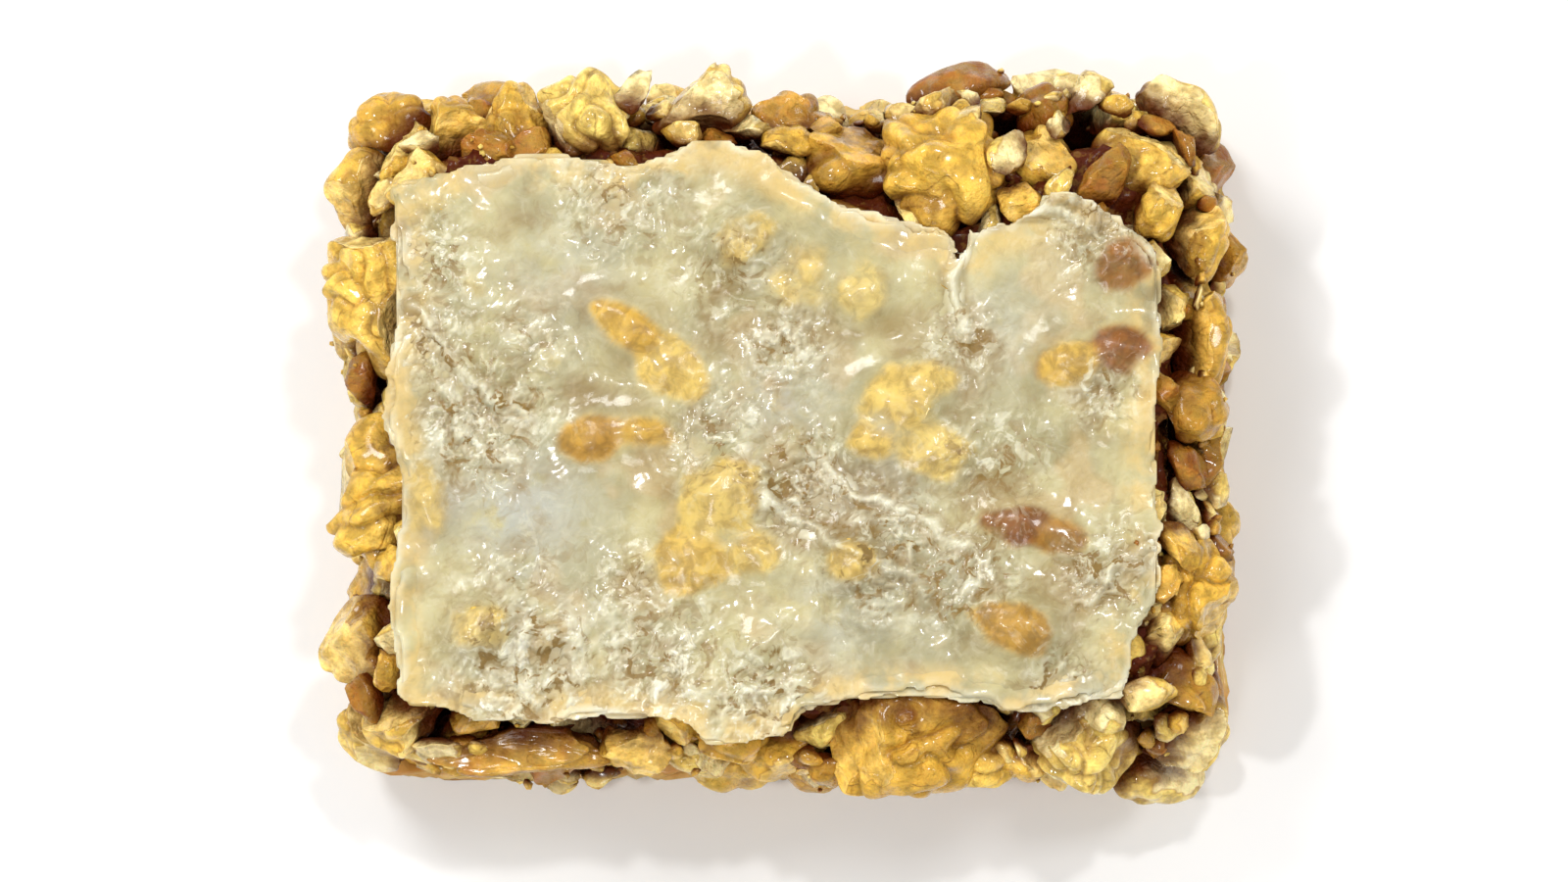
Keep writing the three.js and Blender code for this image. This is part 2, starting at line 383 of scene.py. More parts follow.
class BaklavaBaseSettings(bpy.types.PropertyGroup):
    """The soaked pastry under the nuts."""

    seed: count_setting("Seed", "Changes how the cut edges fray", 11)
    sheets: count_setting("Sheets", "Sheets of pastry in the base", 10)
    fray: length_setting("Fray", "How far the edge of one sheet stands out or in", 0.55 * MM)
    wave: length_setting("Wave", "How much the upper sheets rise and fall", 0.9 * MM)
    soaked: colour_setting("Soaked", "Pastry full of syrup", (204, 152, 76))
    pale: colour_setting("Pale", "Edges of sheets with less syrup", (232, 196, 120))
    baked: colour_setting("Baked", "The browned sheets at the bottom", (140, 88, 40))


class BaklavaNutSettings(bpy.types.PropertyGroup):
    """The chopped walnuts."""

    seed: count_setting("Seed", "Changes the shapes and the places of the nuts", 5)
    coarse: count_setting("Coarse pieces", "Pieces of about 5 mm", 230)
    medium: count_setting("Medium pieces", "Pieces of about 3 mm", 480)
    fine: count_setting("Fine pieces", "Pieces of about 1.5 mm", 380)
    crumbs: count_setting("Crumbs", "Crumbs of about half a millimetre", 450)
    meal_depth: length_setting("Meal depth", "How far the meal lies below the top of the filling", 1.6 * MM)
    meal_inset: length_setting("Meal inset", "How far the meal lies behind the cut sides", 3.3 * MM)
    flesh_pale: colour_setting("Pale flesh", "Broken faces of the palest nuts", (250, 230, 168))
    flesh_gold: colour_setting("Gold flesh", "Broken faces of most nuts", (250, 219, 138))
    flesh_amber: colour_setting("Amber flesh", "Broken faces full of syrup", (238, 190, 84))
    flesh_brown: colour_setting("Brown flesh", "Broken faces of the darkest nuts", (162, 102, 34))
    skin_gold: colour_setting("Gold skin", "Skin of the palest nuts", (245, 214, 116))
    skin_tan: colour_setting("Tan skin", "Skin of most nuts", (230, 182, 70))
    skin_brown: colour_setting("Brown skin", "Skin of the darkest nuts", (130, 74, 14))
    # Dark syrup is also the colour of the painted shade on the nuts' inner sides, deep in the filling and at
    # the top of the meal.
    dark_syrup_and_shade: colour_setting("Dark syrup", "Syrup that pools between the nuts", (84, 26, 1))


class BaklavaTopSettings(bpy.types.PropertyGroup):
    """The sheer pastry over the nuts."""

    seed: count_setting("Seed", "Changes the crinkles and the torn rims", 3)
    step: length_setting("Grid step", "Size of the faces of the top sheet", 0.205 * MM)
    thickness: length_setting("Thickness", "Thickness of one sheet", 0.11 * MM)
    spacing: length_setting("Spacing", "From one sheet to the next", 0.14 * MM)
    sag: length_setting("Sag", "How far the sheet falls in each round of settling", 0.005 * MM)
    rounds: count_setting("Rounds", "Rounds of settling", 560)
    crinkle: length_setting("Crinkle", "Height of the sharpest crinkles", 0.3 * MM)
    cream: colour_setting("Cream", "Pastry that lies on nuts", (206, 193, 142))
    grey: colour_setting("Grey", "Wet pastry", (178, 168, 124))
    peach: colour_setting("Peach", "Pastry near its torn rim", (232, 196, 122))
    blush: colour_setting("Blush", "Pastry over pale nuts", (212, 182, 128))
    cool: colour_setting("Cool", "Cool patches of wet pastry", (192, 191, 177))
    dull: colour_setting("Dull", "Wet pastry between its crinkles", (158, 150, 114))
    # Painted shade: the colour where the sheet hangs over a gap, and in its creases.
    hollow: colour_setting("Hollow", "Pastry that hangs over a gap", (142, 114, 60))
    # Painted highlight: the colour that crinkle crests, their glinting threads and fibres, and the cut edge
    # are lightened towards; at the cut edge it is partly the edge's own paler colour.
    crest: colour_setting("Crest", "Crests of the crinkles, and the cut edge", (250, 242, 212))


class BaklavaStageSettings(bpy.types.PropertyGroup):
    """The floor, the lights and the camera."""

    distance: length_setting("Camera distance", "From the piece to the camera", 0.9)
    aside: length_setting("Camera aside", "How far the camera stands to the right", 0.045)
    ahead: length_setting("Camera ahead", "How far the camera stands to the front", 0.074)
    frame_width: length_setting("Frame width", "Width that the camera takes in", 0.098)
    floor: colour_setting("Floor", "Colour of the floor", (250, 250, 250))
    sky: share_setting("Sky", "Strength of the even light from all round", 0.45, 5.0)
    power: share_setting("Light power", "Power of the main light, in watts", 1.2, 50.0)


# ----------------------------------------------------------------------------------------------- finishes


class Value:
    """A value that varies over a surface. Sums on it add Math nodes."""

    def __init__(self, finish, socket):
        self.finish = finish
        self.socket = socket

    def math(self, operation, first, second):
        return self.finish.node("Math", {"operation": operation}, {"Value": first, "Value_001": second})

    def __add__(self, other):
        return self.math("ADD", self, other)

    def __radd__(self, other):
        return self.math("ADD", other, self)

    def __sub__(self, other):
        return self.math("SUBTRACT", self, other)

    def __rsub__(self, other):
        return self.math("SUBTRACT", other, self)

    def __mul__(self, other):
        return self.math("MULTIPLY", self, other)

    def __rmul__(self, other):
        return self.math("MULTIPLY", other, self)

    def rise(self, low, high):
        """0 below low, 1 above high, and a soft rise between them."""
        settings = {"interpolation_type": "SMOOTHSTEP"}
        return self.finish.node("MapRange", settings, {"Value": self, "From Min": low, "From Max": high})


class Finish:
    """One material. Every node but the shader comes from node()."""

    def __init__(self, name, **constants):
        self.material = bpy.data.materials.new(name)
        self.material.use_nodes = True
        self.tree = self.material.node_tree
        self.shader = self.tree.nodes["Principled BSDF"]
        for socket, value in constants.items():
            self.shader.inputs[socket.replace("_", " ")].default_value = value

    def feed(self, socket, value):
        """Links a socket to a value that varies, or sets it."""
        if isinstance(value, Value):
            self.tree.links.new(value.socket, socket)
        else:
            socket.default_value = value

    def node(self, kind, settings=None, inputs=None, output=None):
        """A new node of a kind, with its settings made first and then its inputs set or linked."""
        made = self.tree.nodes.new("ShaderNode" + kind)
        for name, value in (settings or {}).items():
            if name == "stops":
                self.set_stops(made.color_ramp, value)
            else:
                setattr(made, name, value)
        sockets = {socket.identifier: socket for socket in made.inputs}
        for name, value in (inputs or {}).items():
            self.feed(sockets[name], value)
        shown = [socket for socket in made.outputs if socket.enabled]
        named = [socket for socket in shown if socket.identifier == output]
        return Value(self, (named or shown)[0])

    def set_stops(self, ramp, stops):
        """Gives a colour ramp its stops, as (position, colour)."""
        for _ in stops[2:]:
            ramp.elements.new(0.5)
        for element, (position, colour) in zip(ramp.elements, stops):
            element.position = position
            element.color = colour

    def place(self, stretch=(1.0, 1.0, 1.0), turn=0.0):
        """Where a point lies, in metres, turned and stretched for patterns that are longer one way."""
        spot = self.node("TexCoord", output="Object")
        spot = self.node("VectorRotate", {"rotation_type": "Z_AXIS"}, {"Vector": spot, "Angle": turn})
        return self.node("VectorMath", {"operation": "MULTIPLY"}, {"Vector": spot, "Vector_001": stretch})

    def attribute(self, name, output="Fac"):
        """What the mesh holds at each vertex under a name."""
        return self.node("Attribute", {"attribute_name": name}, output=output)

    def grain(self, size, detail=3.0, roughness=0.55, distortion=0.0, stretch=(1.0, 1.0, 1.0)):
        """Noise from 0 to 1 whose patches are about that size across."""
        inputs = {"Vector": self.place(stretch), "Scale": 1.0 / size, "Detail": detail}
        inputs |= {"Roughness": roughness, "Distortion": distortion}
        return self.node("TexNoise", {"noise_dimensions": "3D"}, inputs)

    def ridges(self, size, detail=3.0, distortion=0.0, stretch=(1.0, 1.0, 1.0), turn=0.0):
        """Thin crossing ridges, from 0 to about 1."""
        settings = {"noise_dimensions": "3D", "noise_type": "RIDGED_MULTIFRACTAL", "normalize": True}
        spot = self.place(stretch, turn)
        inputs = {"Vector": spot, "Scale": 1.0 / size, "Detail": detail, "Distortion": distortion}
        return self.node("TexNoise", settings, inputs)

    def cells(self, size):
        """How far a point lies from the crooked lines between cells of about that size, from 0 on a line."""
        inputs = {"Vector": self.place(), "Scale": 1.2 / size}
        bend = self.node("TexNoise", {"noise_dimensions": "3D"}, inputs)
        bend = self.node("VectorMath", {"operation": "SCALE"}, {"Vector": bend, "Scale": 0.8 * size})
        spot = self.node("VectorMath", {"operation": "ADD"}, {"Vector": self.place(), "Vector_001": bend})
        settings = {"voronoi_dimensions": "3D", "feature": "DISTANCE_TO_EDGE"}
        return self.node("TexVoronoi", settings, {"Vector": spot, "Scale": 1.0 / size})

    def ramp(self, share, stops):
        """The colour at a share of the way along the stops."""
        return self.node("ValToRGB", {"stops": stops}, {"Fac": share}, output="Color")

    def mix(self, share, first, second):
        """From the first colour to the second as the share goes from 0 to 1."""
        inputs = {"Factor_Float": share, "A_Color": first, "B_Color": second}
        return self.node("Mix", {"data_type": "RGBA"}, inputs, output="Result_Color")

    def brighten(self, colour, amount):
        """The colour times an amount that varies."""
        return self.node("VectorMath", {"operation": "SCALE"}, {"Vector": colour, "Scale": amount})

    def bump(self, height, distance, strength, below=None):
        """Relief of a height that varies, over the relief below it."""
        inputs = {"Height": height, "Distance": distance, "Strength": strength}
        if below is not None:
            inputs["Normal"] = below
        return self.node("Bump", {}, inputs)

    def surface(self, **links):
        """Feeds the shader what varies, and gives the finished material."""
        for name, value in links.items():
            self.feed(self.shader.inputs[name.replace("_", " ")], value)
        return self.material


def flesh_stops(settings):
    colours = (settings.flesh_pale, settings.flesh_gold, settings.flesh_amber, settings.flesh_brown)
    return list(zip((0.0, 0.3, 0.62, 1.0), colours))


def skin_stops(settings):
    return list(zip((0.0, 0.45, 1.0), (settings.skin_gold, settings.skin_tan, settings.skin_brown)))


def walnut_finish(settings):
    """Walnut in syrup: folded golden skin, paler broken faces, and painted shade with dark syrup where pieces
    meet and deeper in the filling.
    """
    finish = Finish(
        "Walnut_in_syrup",
        Specular_IOR_Level=0.15,
        Subsurface_Weight=0.2,
        Subsurface_Radius=(1.0, 0.6, 0.3),
        Subsurface_Scale=0.5 * MM,
        Coat_Roughness=0.12,
        IOR=1.45,
    )
    tone = finish.attribute("tone") + 0.5 * finish.grain(2.0 * MM) + 0.4 * finish.grain(0.8 * MM) - 0.45
    flesh = finish.ramp(tone, flesh_stops(settings))
    skin = finish.ramp(tone, skin_stops(settings))
    furrow = 1.0 - finish.attribute("fold").rise(0.05, 0.6)
    skin = finish.mix(0.6 * furrow, skin, settings.skin_brown)
    vein = (1.0 - finish.cells(2.4 * MM).rise(0.0, 0.05)) * finish.grain(1.5 * MM).rise(0.44, 0.6)
    skin = finish.mix(0.4 * vein, skin, settings.skin_brown)
    cover = finish.attribute("skin")
    colour = finish.mix(cover.rise(0.35, 0.65), flesh, skin)
    edge = cover.rise(0.1, 0.45) * (1.0 - cover.rise(0.55, 0.9))
    colour = finish.mix(0.45 * edge, colour, settings.skin_brown)
    grit = finish.grain(0.4 * MM, detail=4.0)
    mottle = finish.grain(1.1 * MM, detail=4.0).rise(0.36, 0.64)
    colour = finish.mix(0.36 - 0.36 * mottle, colour, settings.skin_tan)
    colour = finish.brighten(colour, 0.48 + 0.54 * mottle + 0.52 * grit)
    # Painted shade and pooled syrup: each nut goes brown, then dark syrup, on its side that faces into the
    # filling, and all go dark deeper in the filling.
    uneven = finish.grain(1.8 * MM) - 0.5
    proud = finish.attribute("proud") + 1.2 * uneven
    colour = finish.mix(0.62 - 0.62 * proud.rise(-0.15, 0.72), colour, settings.skin_brown)
    colour = finish.mix(0.94 - 0.94 * proud.rise(-0.42, 0.43), colour, settings.dark_syrup_and_shade)
    depth = finish.attribute("out") + 1.6 * uneven
    colour = finish.mix(1.0 - depth.rise(-2.4, -0.2), colour, settings.dark_syrup_and_shade)
    pores = finish.bump(grit - 0.4 * vein, 0.2 * MM, 0.9)
    ripples = finish.bump(finish.grain(0.8 * MM, detail=3.0), 0.3 * MM, 0.7, below=pores)
    roughness = 0.26 + 0.3 * finish.grain(0.9 * MM)
    coat = proud.rise(-0.5, 0.3) * (0.2 + 0.8 * finish.grain(1.4 * MM).rise(0.42, 0.62))
    return finish.surface(Base_Color=colour, Roughness=roughness, Coat_Weight=coat, Normal=ripples)


def meal_finish(settings):
    """The fine nut meal behind the pieces, dark with syrup, and darker still towards its top as painted shade
    and pooled syrup in the gaps.
    """
    finish = Finish(
        "Nut_meal_in_syrup",
        Specular_IOR_Level=0.15,
        Coat_Weight=0.15,
        Coat_Roughness=0.12,
        IOR=1.45,
    )
    grit = finish.grain(0.8 * MM, detail=4.0)
    colour = finish.mix(grit.rise(0.4, 0.62), settings.dark_syrup_and_shade, settings.skin_brown)
    specks = finish.grain(0.7 * MM).rise(0.53, 0.62)
    colour = finish.mix(0.85 * specks, colour, settings.flesh_amber)
    # Painted shade and pooled syrup: darker towards the top of the meal, which is seen in the gaps.
    colour = finish.mix(0.85 * finish.attribute("deep"), colour, settings.dark_syrup_and_shade)
    pits = finish.bump(finish.grain(0.5 * MM, detail=5.0), 0.4 * MM, 0.9)
    return finish.surface(Base_Color=colour, Roughness=0.4 + 0.3 * grit, Normal=pits)


def base_finish(settings):
    """Sheets of pastry that stick together with syrup, with paler cut edges and a browned bottom."""
    finish = Finish(
        "Soaked_base_pastry",
        Subsurface_Weight=0.3,
        Subsurface_Radius=(1.0, 0.6, 0.25),
        Subsurface_Scale=0.8 * MM,
        Coat_Roughness=0.1,
        IOR=1.46,
    )
    pale = finish.attribute("pale")
    patches = finish.grain(4.5 * MM, detail=4.0)
    streaks = finish.grain(1.8 * MM, detail=4.0, distortion=0.4, stretch=(1.0, 1.0, 3.0))
    share = pale * (0.3 + 1.1 * patches.rise(0.36, 0.62)) + 0.7 * (streaks - 0.5)
    colour = finish.mix(share.rise(0.1, 1.0), settings.soaked, settings.pale)
    colour = finish.mix(0.7 * finish.attribute("baked") * streaks.rise(0.3, 0.6), colour, settings.baked)
    colour = finish.brighten(colour, 0.78 + 0.44 * finish.grain(0.6 * MM, detail=4.0))
    flakes = finish.bump(streaks, 0.25 * MM, 0.7)
    grain = finish.bump(finish.grain(0.4 * MM, detail=4.0), 0.15 * MM, 0.7, below=flakes)
    coat = 0.1 + 0.6 * patches.rise(0.38, 0.6)
    return finish.surface(Base_Color=colour, Roughness=0.3 + 0.3 * streaks, Coat_Weight=coat, Normal=grain)


def top_finish(settings, nuts):
    """Sheer wet pastry: cream where it lies on nuts, darker as painted shade where it hangs over a gap, and
    the colour of the nut where it clings to one, with painted highlights on its crinkles and cut edge and
    painted shade in its creases."""
    finish = Finish(
        "Sheer_top_pastry",
        Subsurface_Weight=0.3,
        Subsurface_Radius=(1.0, 0.75, 0.4),
        Subsurface_Scale=0.6 * MM,
        Coat_Roughness=0.12,
        Coat_IOR=1.4,
        IOR=1.4,
    )
    rough = finish.attribute("rough")
    crest = finish.attribute("crest")
    cling = (finish.attribute("cling") + 0.6 * (finish.grain(1.3 * MM, detail=4.0) - 0.5)).rise(0.1, 0.95)
    colour = finish.mix(finish.grain(7.0 * MM, detail=3.0).rise(0.44, 0.58), settings.cream, settings.grey)
    colour = finish.mix(0.7 * finish.grain(5.0 * MM, detail=2.0).rise(0.54, 0.64), colour, settings.blush)
    cool = finish.attribute("cool") * finish.grain(2.4 * MM, detail=3.0).rise(0.3, 0.5)
    colour = finish.mix(cool, colour, settings.cool)
    dull = finish.attribute("dull") * finish.grain(2.0 * MM, detail=3.0).rise(0.32, 0.56)
    colour = finish.mix(0.9 * dull + 0.45 * rough, colour, settings.dull)
    # Painted shade where the sheet hangs over a gap, with random darker blotches that grow where it is
    # crinkled.
    blotch = finish.grain(1.8 * MM, detail=4.0, distortion=0.5).rise(0.44, 0.74)
    hollow = 0.55 * finish.attribute("hollow") + blotch * (0.15 + 0.3 * rough)
    colour = finish.mix(hollow.rise(0.0, 1.0), colour, settings.hollow)
    speckle = finish.grain(1.1 * MM, detail=5.0, distortion=0.8).rise(0.36, 0.62)
    nut = finish.brighten(finish.attribute("under", "Color"), 0.7 + 0.42 * speckle)
    streak = finish.ridges(1.3 * MM, detail=4.0, distortion=0.4, stretch=(0.6, 1.0, 1.0), turn=0.7)
    nut = finish.mix(0.6 * streak.rise(0.5, 0.8) + 0.12, nut, nuts.skin_brown)
    edge = finish.attribute("edge") * finish.grain(2.2 * MM, detail=3.0).rise(0.36, 0.6)
    colour = finish.mix(0.8 * edge, colour, settings.peach)
    colour = finish.mix(cling, colour, nut)
    along = finish.ridges(1.6 * MM, detail=4.0, distortion=0.5, stretch=(0.4, 1.1, 1.0), turn=0.6)
    across = finish.ridges(1.6 * MM, detail=4.0, distortion=0.5, stretch=(0.4, 1.1, 1.0), turn=-0.9)
    way = finish.grain(4.0 * MM, detail=2.0).rise(0.46, 0.54)
    threads = along * way + across * (1.0 - way)
    fibre = finish.grain(1.3 * MM, detail=5.0, roughness=0.62, distortion=0.8)
    # Painted highlights on the crinkle crests, threads and fibres, less where a nut shows through or the
    # pastry is dull; the cut edge is lightened too, partly its own paler colour and partly painted highlight.
    light = (0.7 * crest + (0.12 + 0.7 * rough) * threads.rise(0.62, 0.8)) * (1.0 - 0.8 * cling)
    light = (light + 0.65 * rough * fibre.rise(0.55, 0.62)) * (1.0 - 0.7 * dull)
    colour = finish.mix(light + 0.5 * finish.attribute("rim"), colour, settings.crest)
    # Painted shade in the creases and between the crinkles.
    dark = 0.6 * finish.attribute("crease") + rough * (1.0 - fibre.rise(0.38, 0.45))
    colour = finish.mix(dark, colour, settings.hollow)
    crinkle = finish.bump((0.5 * fibre + threads) * (0.2 + 0.9 * rough), 0.26 * MM, 0.9)
    veil = finish.bump(finish.grain(1.4 * MM, detail=3.0, distortion=0.6), 0.3 * MM, 0.35, below=crinkle)
    roughness = 0.22 + 0.3 * finish.grain(1.8 * MM)
    coat = 0.25 + 0.7 * finish.grain(2.6 * MM).rise(0.4, 0.6)
    return finish.surface(Base_Color=colour, Roughness=roughness, Coat_Weight=coat, Normal=veil)


def finish_named(name, maker, *settings):
    """The material of that name, made by its maker the first time."""
    return bpy.data.materials.get(name) or maker(*settings)


# ------------------------------------------------------------------------------------------------- shapes


def merged_copy(node):
    """A bmesh of a CAD node with its loose triangles joined."""
    bm = bmesh.new()
    bm.from_mesh(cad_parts[node].data)
    bmesh.ops.remove_doubles(bm, verts=bm.verts, dist=0.001 * MM)
    bm.normal_update()
    return bm


def solid_tree(node):
    """The faces of a CAD node, for rays to meet."""
    solid = merged_copy(node)
    tree = BVHTree.FromBMesh(solid)
    solid.free()
    return tree


def top_spot(tree, x, y):
    """The highest place of a tree of faces at x and y, or None."""
    return tree.ray_cast(Vector((x, y, ABOVE_ALL)), -UP)[0]


def from_middle(x, y, z):
    """The place at x and y mm from the middle of the piece, and at a height in metres."""
    return Vector((MIDDLE.x + x * MM, MIDDLE.y + y * MM, z))


def mesh_of(bm, name):
    """The mesh of a bmesh that is done with."""
    mesh = bpy.data.meshes.new(name)
    bm.to_mesh(mesh)
    bm.free()
    return mesh


def add_piece(bm, name, material, replaced=(), smooth=True):
    """Makes the bmesh a piece that rides on the body, has its finish and stands for its CAD nodes."""
    mesh = mesh_of(bm, name)
    mesh.materials.append(material)
    if "out" in mesh.attributes:
        give_depth(mesh)
    if smooth:
        mesh.shade_smooth()
    piece = bpy.data.objects.new(name, mesh)
    bpy.context.scene.collection.objects.link(piece)
    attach(piece, "root")
    if replaced:
        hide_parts(*replaced)
    return piece


def soften(bm, verts, rounds):
    """Smooths vertices a number of times."""
    for _ in range(rounds):
        bmesh.ops.smooth_vert(bm, verts=verts, factor=0.5, use_axis_x=True, use_axis_y=True, use_axis_z=True)


def random_way(rng):
    """A direction with no favourite."""
    return Vector([rng.gauss(0, 1) for _ in range(3)]).normalized()


def random_place(rng):
    """A far place in a noise pattern, so that no two shapes are alike."""
    reach = 60.0
    return Vector([rng.uniform(-reach, reach) for _ in range(3)])


def lobes(way, place, size):
    """0 in the furrows of a walnut kernel and 1 on the round lobes between them."""
    bend = 0.45 * noise.noise_vector(way * (0.8 / size) + place)
    return min(1.0, 3.0 * abs(noise.noise(way / size + place + bend))) ** 0.6


def walnut_bmesh():
    """An empty bmesh that can carry what the walnut finish reads."""
    bm = bmesh.new()
    for name in WALNUT_ATTRIBUTES:
        bm.verts.layers.float.new(name)
    return bm


def carve(bm, rng, cuts, scoops, folds, size, softness):
    """Turns a unit ball into a piece of walnut kernel: round lobes of skin, cut by broken faces and scooped.
    Folds is how high the lobes stand, size how wide they are, and softness how round the edges."""
    skin, fold = (bm.verts.layers.float[name] for name in ("skin", "fold"))
    place = random_place(rng)
    bites = []
    for _ in range(scoops):
        reach = rng.uniform(0.55, 1.0)
        bites.append((random_way(rng) * (reach + rng.uniform(0.4, 0.65)), reach))
    for vert in bm.verts:
        way = vert.co.normalized()
        share = lobes(way, place, size)
        vert.co *= 1.0 + 0.26 * noise.noise(way * 1.3 - place) + folds * (share - 0.7)
        vert[skin], vert[fold] = 1.0, share
        for direction, depth in cuts:
            uneven = 0.12 * noise.noise(vert.co * 2.4 + place) + 0.05 * noise.noise(vert.co * 6.5 - place)
            proud = vert.co.dot(direction) - depth - uneven
            if proud > 0.0:
                vert.co -= direction * proud
                vert[skin] = 0.0
        for centre, reach in bites:
            inward = vert.co - centre
            if inward.length < reach:
                vert.co = centre + inward.normalized() * reach
                vert[skin] = 0.0
    soften(bm, bm.verts, softness)


def walnut_shape(name, detail, rng, cut_count, half, softness):
    """A mesh of one chopped piece around the origin, of that half size."""
    bm = walnut_bmesh()
    bmesh.ops.create_icosphere(bm, subdivisions=detail, radius=1.0)
    cuts = [(random_way(rng), rng.uniform(0.3, 0.72)) for _ in range(cut_count)]
    carve(bm, rng, cuts, rng.choice((0, 1)), 0.22, 0.85, softness)
    low = Vector([min(vert.co[axis] for vert in bm.verts) for axis in range(3)])
    high = Vector([max(vert.co[axis] for vert in bm.verts) for axis in range(3)])
    bmesh.ops.translate(bm, vec=-(low + high) / 2, verts=bm.verts)
    bmesh.ops.scale(bm, vec=[2 * half[axis] / (high - low)[axis] for axis in range(3)], verts=bm.verts)
    bmesh.ops.recalc_face_normals(bm, faces=bm.faces)
    return mesh_of(bm, name)


def mesh_places(mesh):
    """The places of a mesh's vertices as an array."""
    places = np.zeros(len(mesh.vertices) * 3, np.float32)
    mesh.vertices.foreach_get("co", places)
    return places.reshape(-1, 3)


def set_values(mesh, name, values):
    """Gives every vertex of a mesh its value of an attribute."""
    filled = np.full(len(mesh.vertices), 0.0, np.float32) + values
    mesh.attributes[name].data.foreach_set("value", filled.astype(np.float32))


def add_copy(bm, shape, centre, radius, turn, tone, shows):
    """Joins a placed copy of a walnut shape to the bmesh, with its tone, how it shows through pastry, and how
    far each of its vertices stands proud of its middle, from -1 on the hidden side to 1 on the outer."""
    copy = shape.copy()
    copy.transform(Matrix.LocRotScale(centre, turn, Vector.Fill(3, radius)))
    proud = (mesh_places(copy) - np.array(centre)) @ np.array(way_out(centre))
    set_values(copy, "proud", proud / np.abs(proud).max())
    set_values(copy, "tone", tone)
    set_values(copy, "shows", shows)
    bm.from_mesh(copy)
    bpy.data.meshes.remove(copy)


def lying(rng, out, loose):
    """A turn that lays a piece with its thin way along the way out, spun and tilted at random."""
    spin = Quaternion(out, rng.uniform(0.0, math.tau))
    tilt = Quaternion(random_way(rng), rng.uniform(0.0, loose))
    return tilt @ spin @ out.to_track_quat("Z", "Y")


def way_out(place):
    """The way out of the filling: away from its heart, so square to its sides and round at its edges."""
    nearest = [min(max(place[axis], HEART_LOW[axis]), HEART_HIGH[axis]) for axis in range(3)]
    away = place - Vector(nearest)
    return away.normalized() if away.length > 0.01 * MM else UP


def give_depth(mesh):
    """Tells the walnut finish how far each vertex lies out of the filling's sides, in mm."""
    places = mesh_places(mesh)
    away = np.linalg.norm(places - np.clip(places, HEART_LOW, HEART_HIGH), axis=1) - HEART_DEPTH
    set_values(mesh, "out", away / MM)


def spots_on(bm, rng):
    """Endless random spots on a mesh, evenly by area, as (place, way out), leaving out what faces inwards."""
    bm.normal_update()
    faces = [face for face in bm.faces if face.normal.dot(way_out(face.calc_center_median())) > 0.25]
    areas = list(itertools.accumulate(face.calc_area() for face in faces))
    while True:
        face = rng.choices(faces, cum_weights=areas)[0]
        first, second, third = (vert.co for vert in face.verts[:3])
        u, v = rng.random(), rng.random()
        if u + v > 1.0:
            u, v = 1.0 - u, 1.0 - v
        place = first + u * (second - first) + v * (third - first)
        yield place, way_out(place)


class Crowd:
    """Round things that keep a distance from each other, so that none lies wholly inside another."""

    def __init__(self, room):
        self.places = np.zeros((room, 3))
        self.radii = np.zeros(room)
        self.count = 0

    def fits(self, place, radius, closeness):
        away = np.linalg.norm(self.places[: self.count] - np.array(place), axis=1)
        return bool((away > closeness * (self.radii[: self.count] + radius)).all())

    def add(self, place, radius):
        self.places[self.count] = place
        self.radii[self.count] = radius
        self.count += 1


def nut_tone(rng):
    """A tone for one chopped walnut: pale, golden, amber or, in a few, brown."""
    kind = rng.random()
    least, most = next(tones for share, *tones in NUT_TONES if kind < share)
    return rng.uniform(least, most)


# -------------------------------------------------------------------------------------------- base pastry


def cut_outline(angle, half_width, half_depth):
    """How far the outline of a cut piece with slightly round corners lies from its middle."""
    squareness = 22.0
    across = abs(math.cos(angle) / half_width) ** squareness
    along = abs(math.sin(angle) / half_depth) ** squareness
    return (across + along) ** (-1.0 / squareness)


def base_sheet(settings, rng, level, low, high):
    """One sheet of the base between two heights, from a flat drum whose rim takes the cut outline."""
    bm = bmesh.new()
    bmesh.ops.create_cone(bm, cap_ends=True, segments=460, radius1=1.0, radius2=1.0, depth=1.0)
    caps = [face for face in bm.faces if len(face.verts) > 4]
    for inset in (0.012, 0.03, 0.1):
        bmesh.ops.inset_individual(bm, faces=caps, thickness=inset, use_even_offset=False)
    pale, baked = (bm.verts.layers.float.new(name) for name in ("pale", "baked"))
    place = random_place(rng)
    share = (level + 0.5) / settings.sheets
    lean = rng.uniform(-0.8, 0.5) * settings.fray
    paleness = rng.uniform(0.2, 1.0)
    for vert in bm.verts:
        angle = math.atan2(vert.co.y, vert.co.x)
        radius = math.hypot(vert.co.x, vert.co.y)
        side = 1.0 if vert.co.z > 0 else -1.0
        way = Vector((math.cos(angle), math.sin(angle), 0.0))
        reach = cut_outline(angle, BASE_HALF.x, BASE_HALF.y)
        rim = way * (reach / (3.0 * MM))
        fray = noise.noise(rim + place) + 0.6 * noise.noise(rim * 3.9 + place)
        at_rim = float(smoothstep(radius, 0.9, 1.0))
        flat = way * (radius * (reach + at_rim * (settings.fray * fray + lean)))
        swell = noise.noise(flat / (6.0 * MM) + Vector((0.0, 0.0, 0.13 * level)))
        ripple = 0.4 * noise.noise(flat / (2.2 * MM) + Vector((0.0, 0.0, 0.5 * level)))
        apart = max(0.0, 0.12 + 1.1 * noise.noise(rim * 0.7 - place))
        pinch = 1.03 - at_rim * min(0.75, apart)
        height = (low + high) / 2 + side * (high - low) / 2 * pinch
        lift = settings.wave * share**0.6 * (0.4 + 0.6 * at_rim) * (swell + ripple)
        if level == 0 and side < 0:
            height, lift = low, 0.0
        vert[pale] = at_rim * paleness
        vert[baked] = max(0.0, 1.0 - 3.2 * share)
        vert.co = Vector((flat.x + MIDDLE.x, flat.y + MIDDLE.y, max(0.0, height + lift)))
    return bm


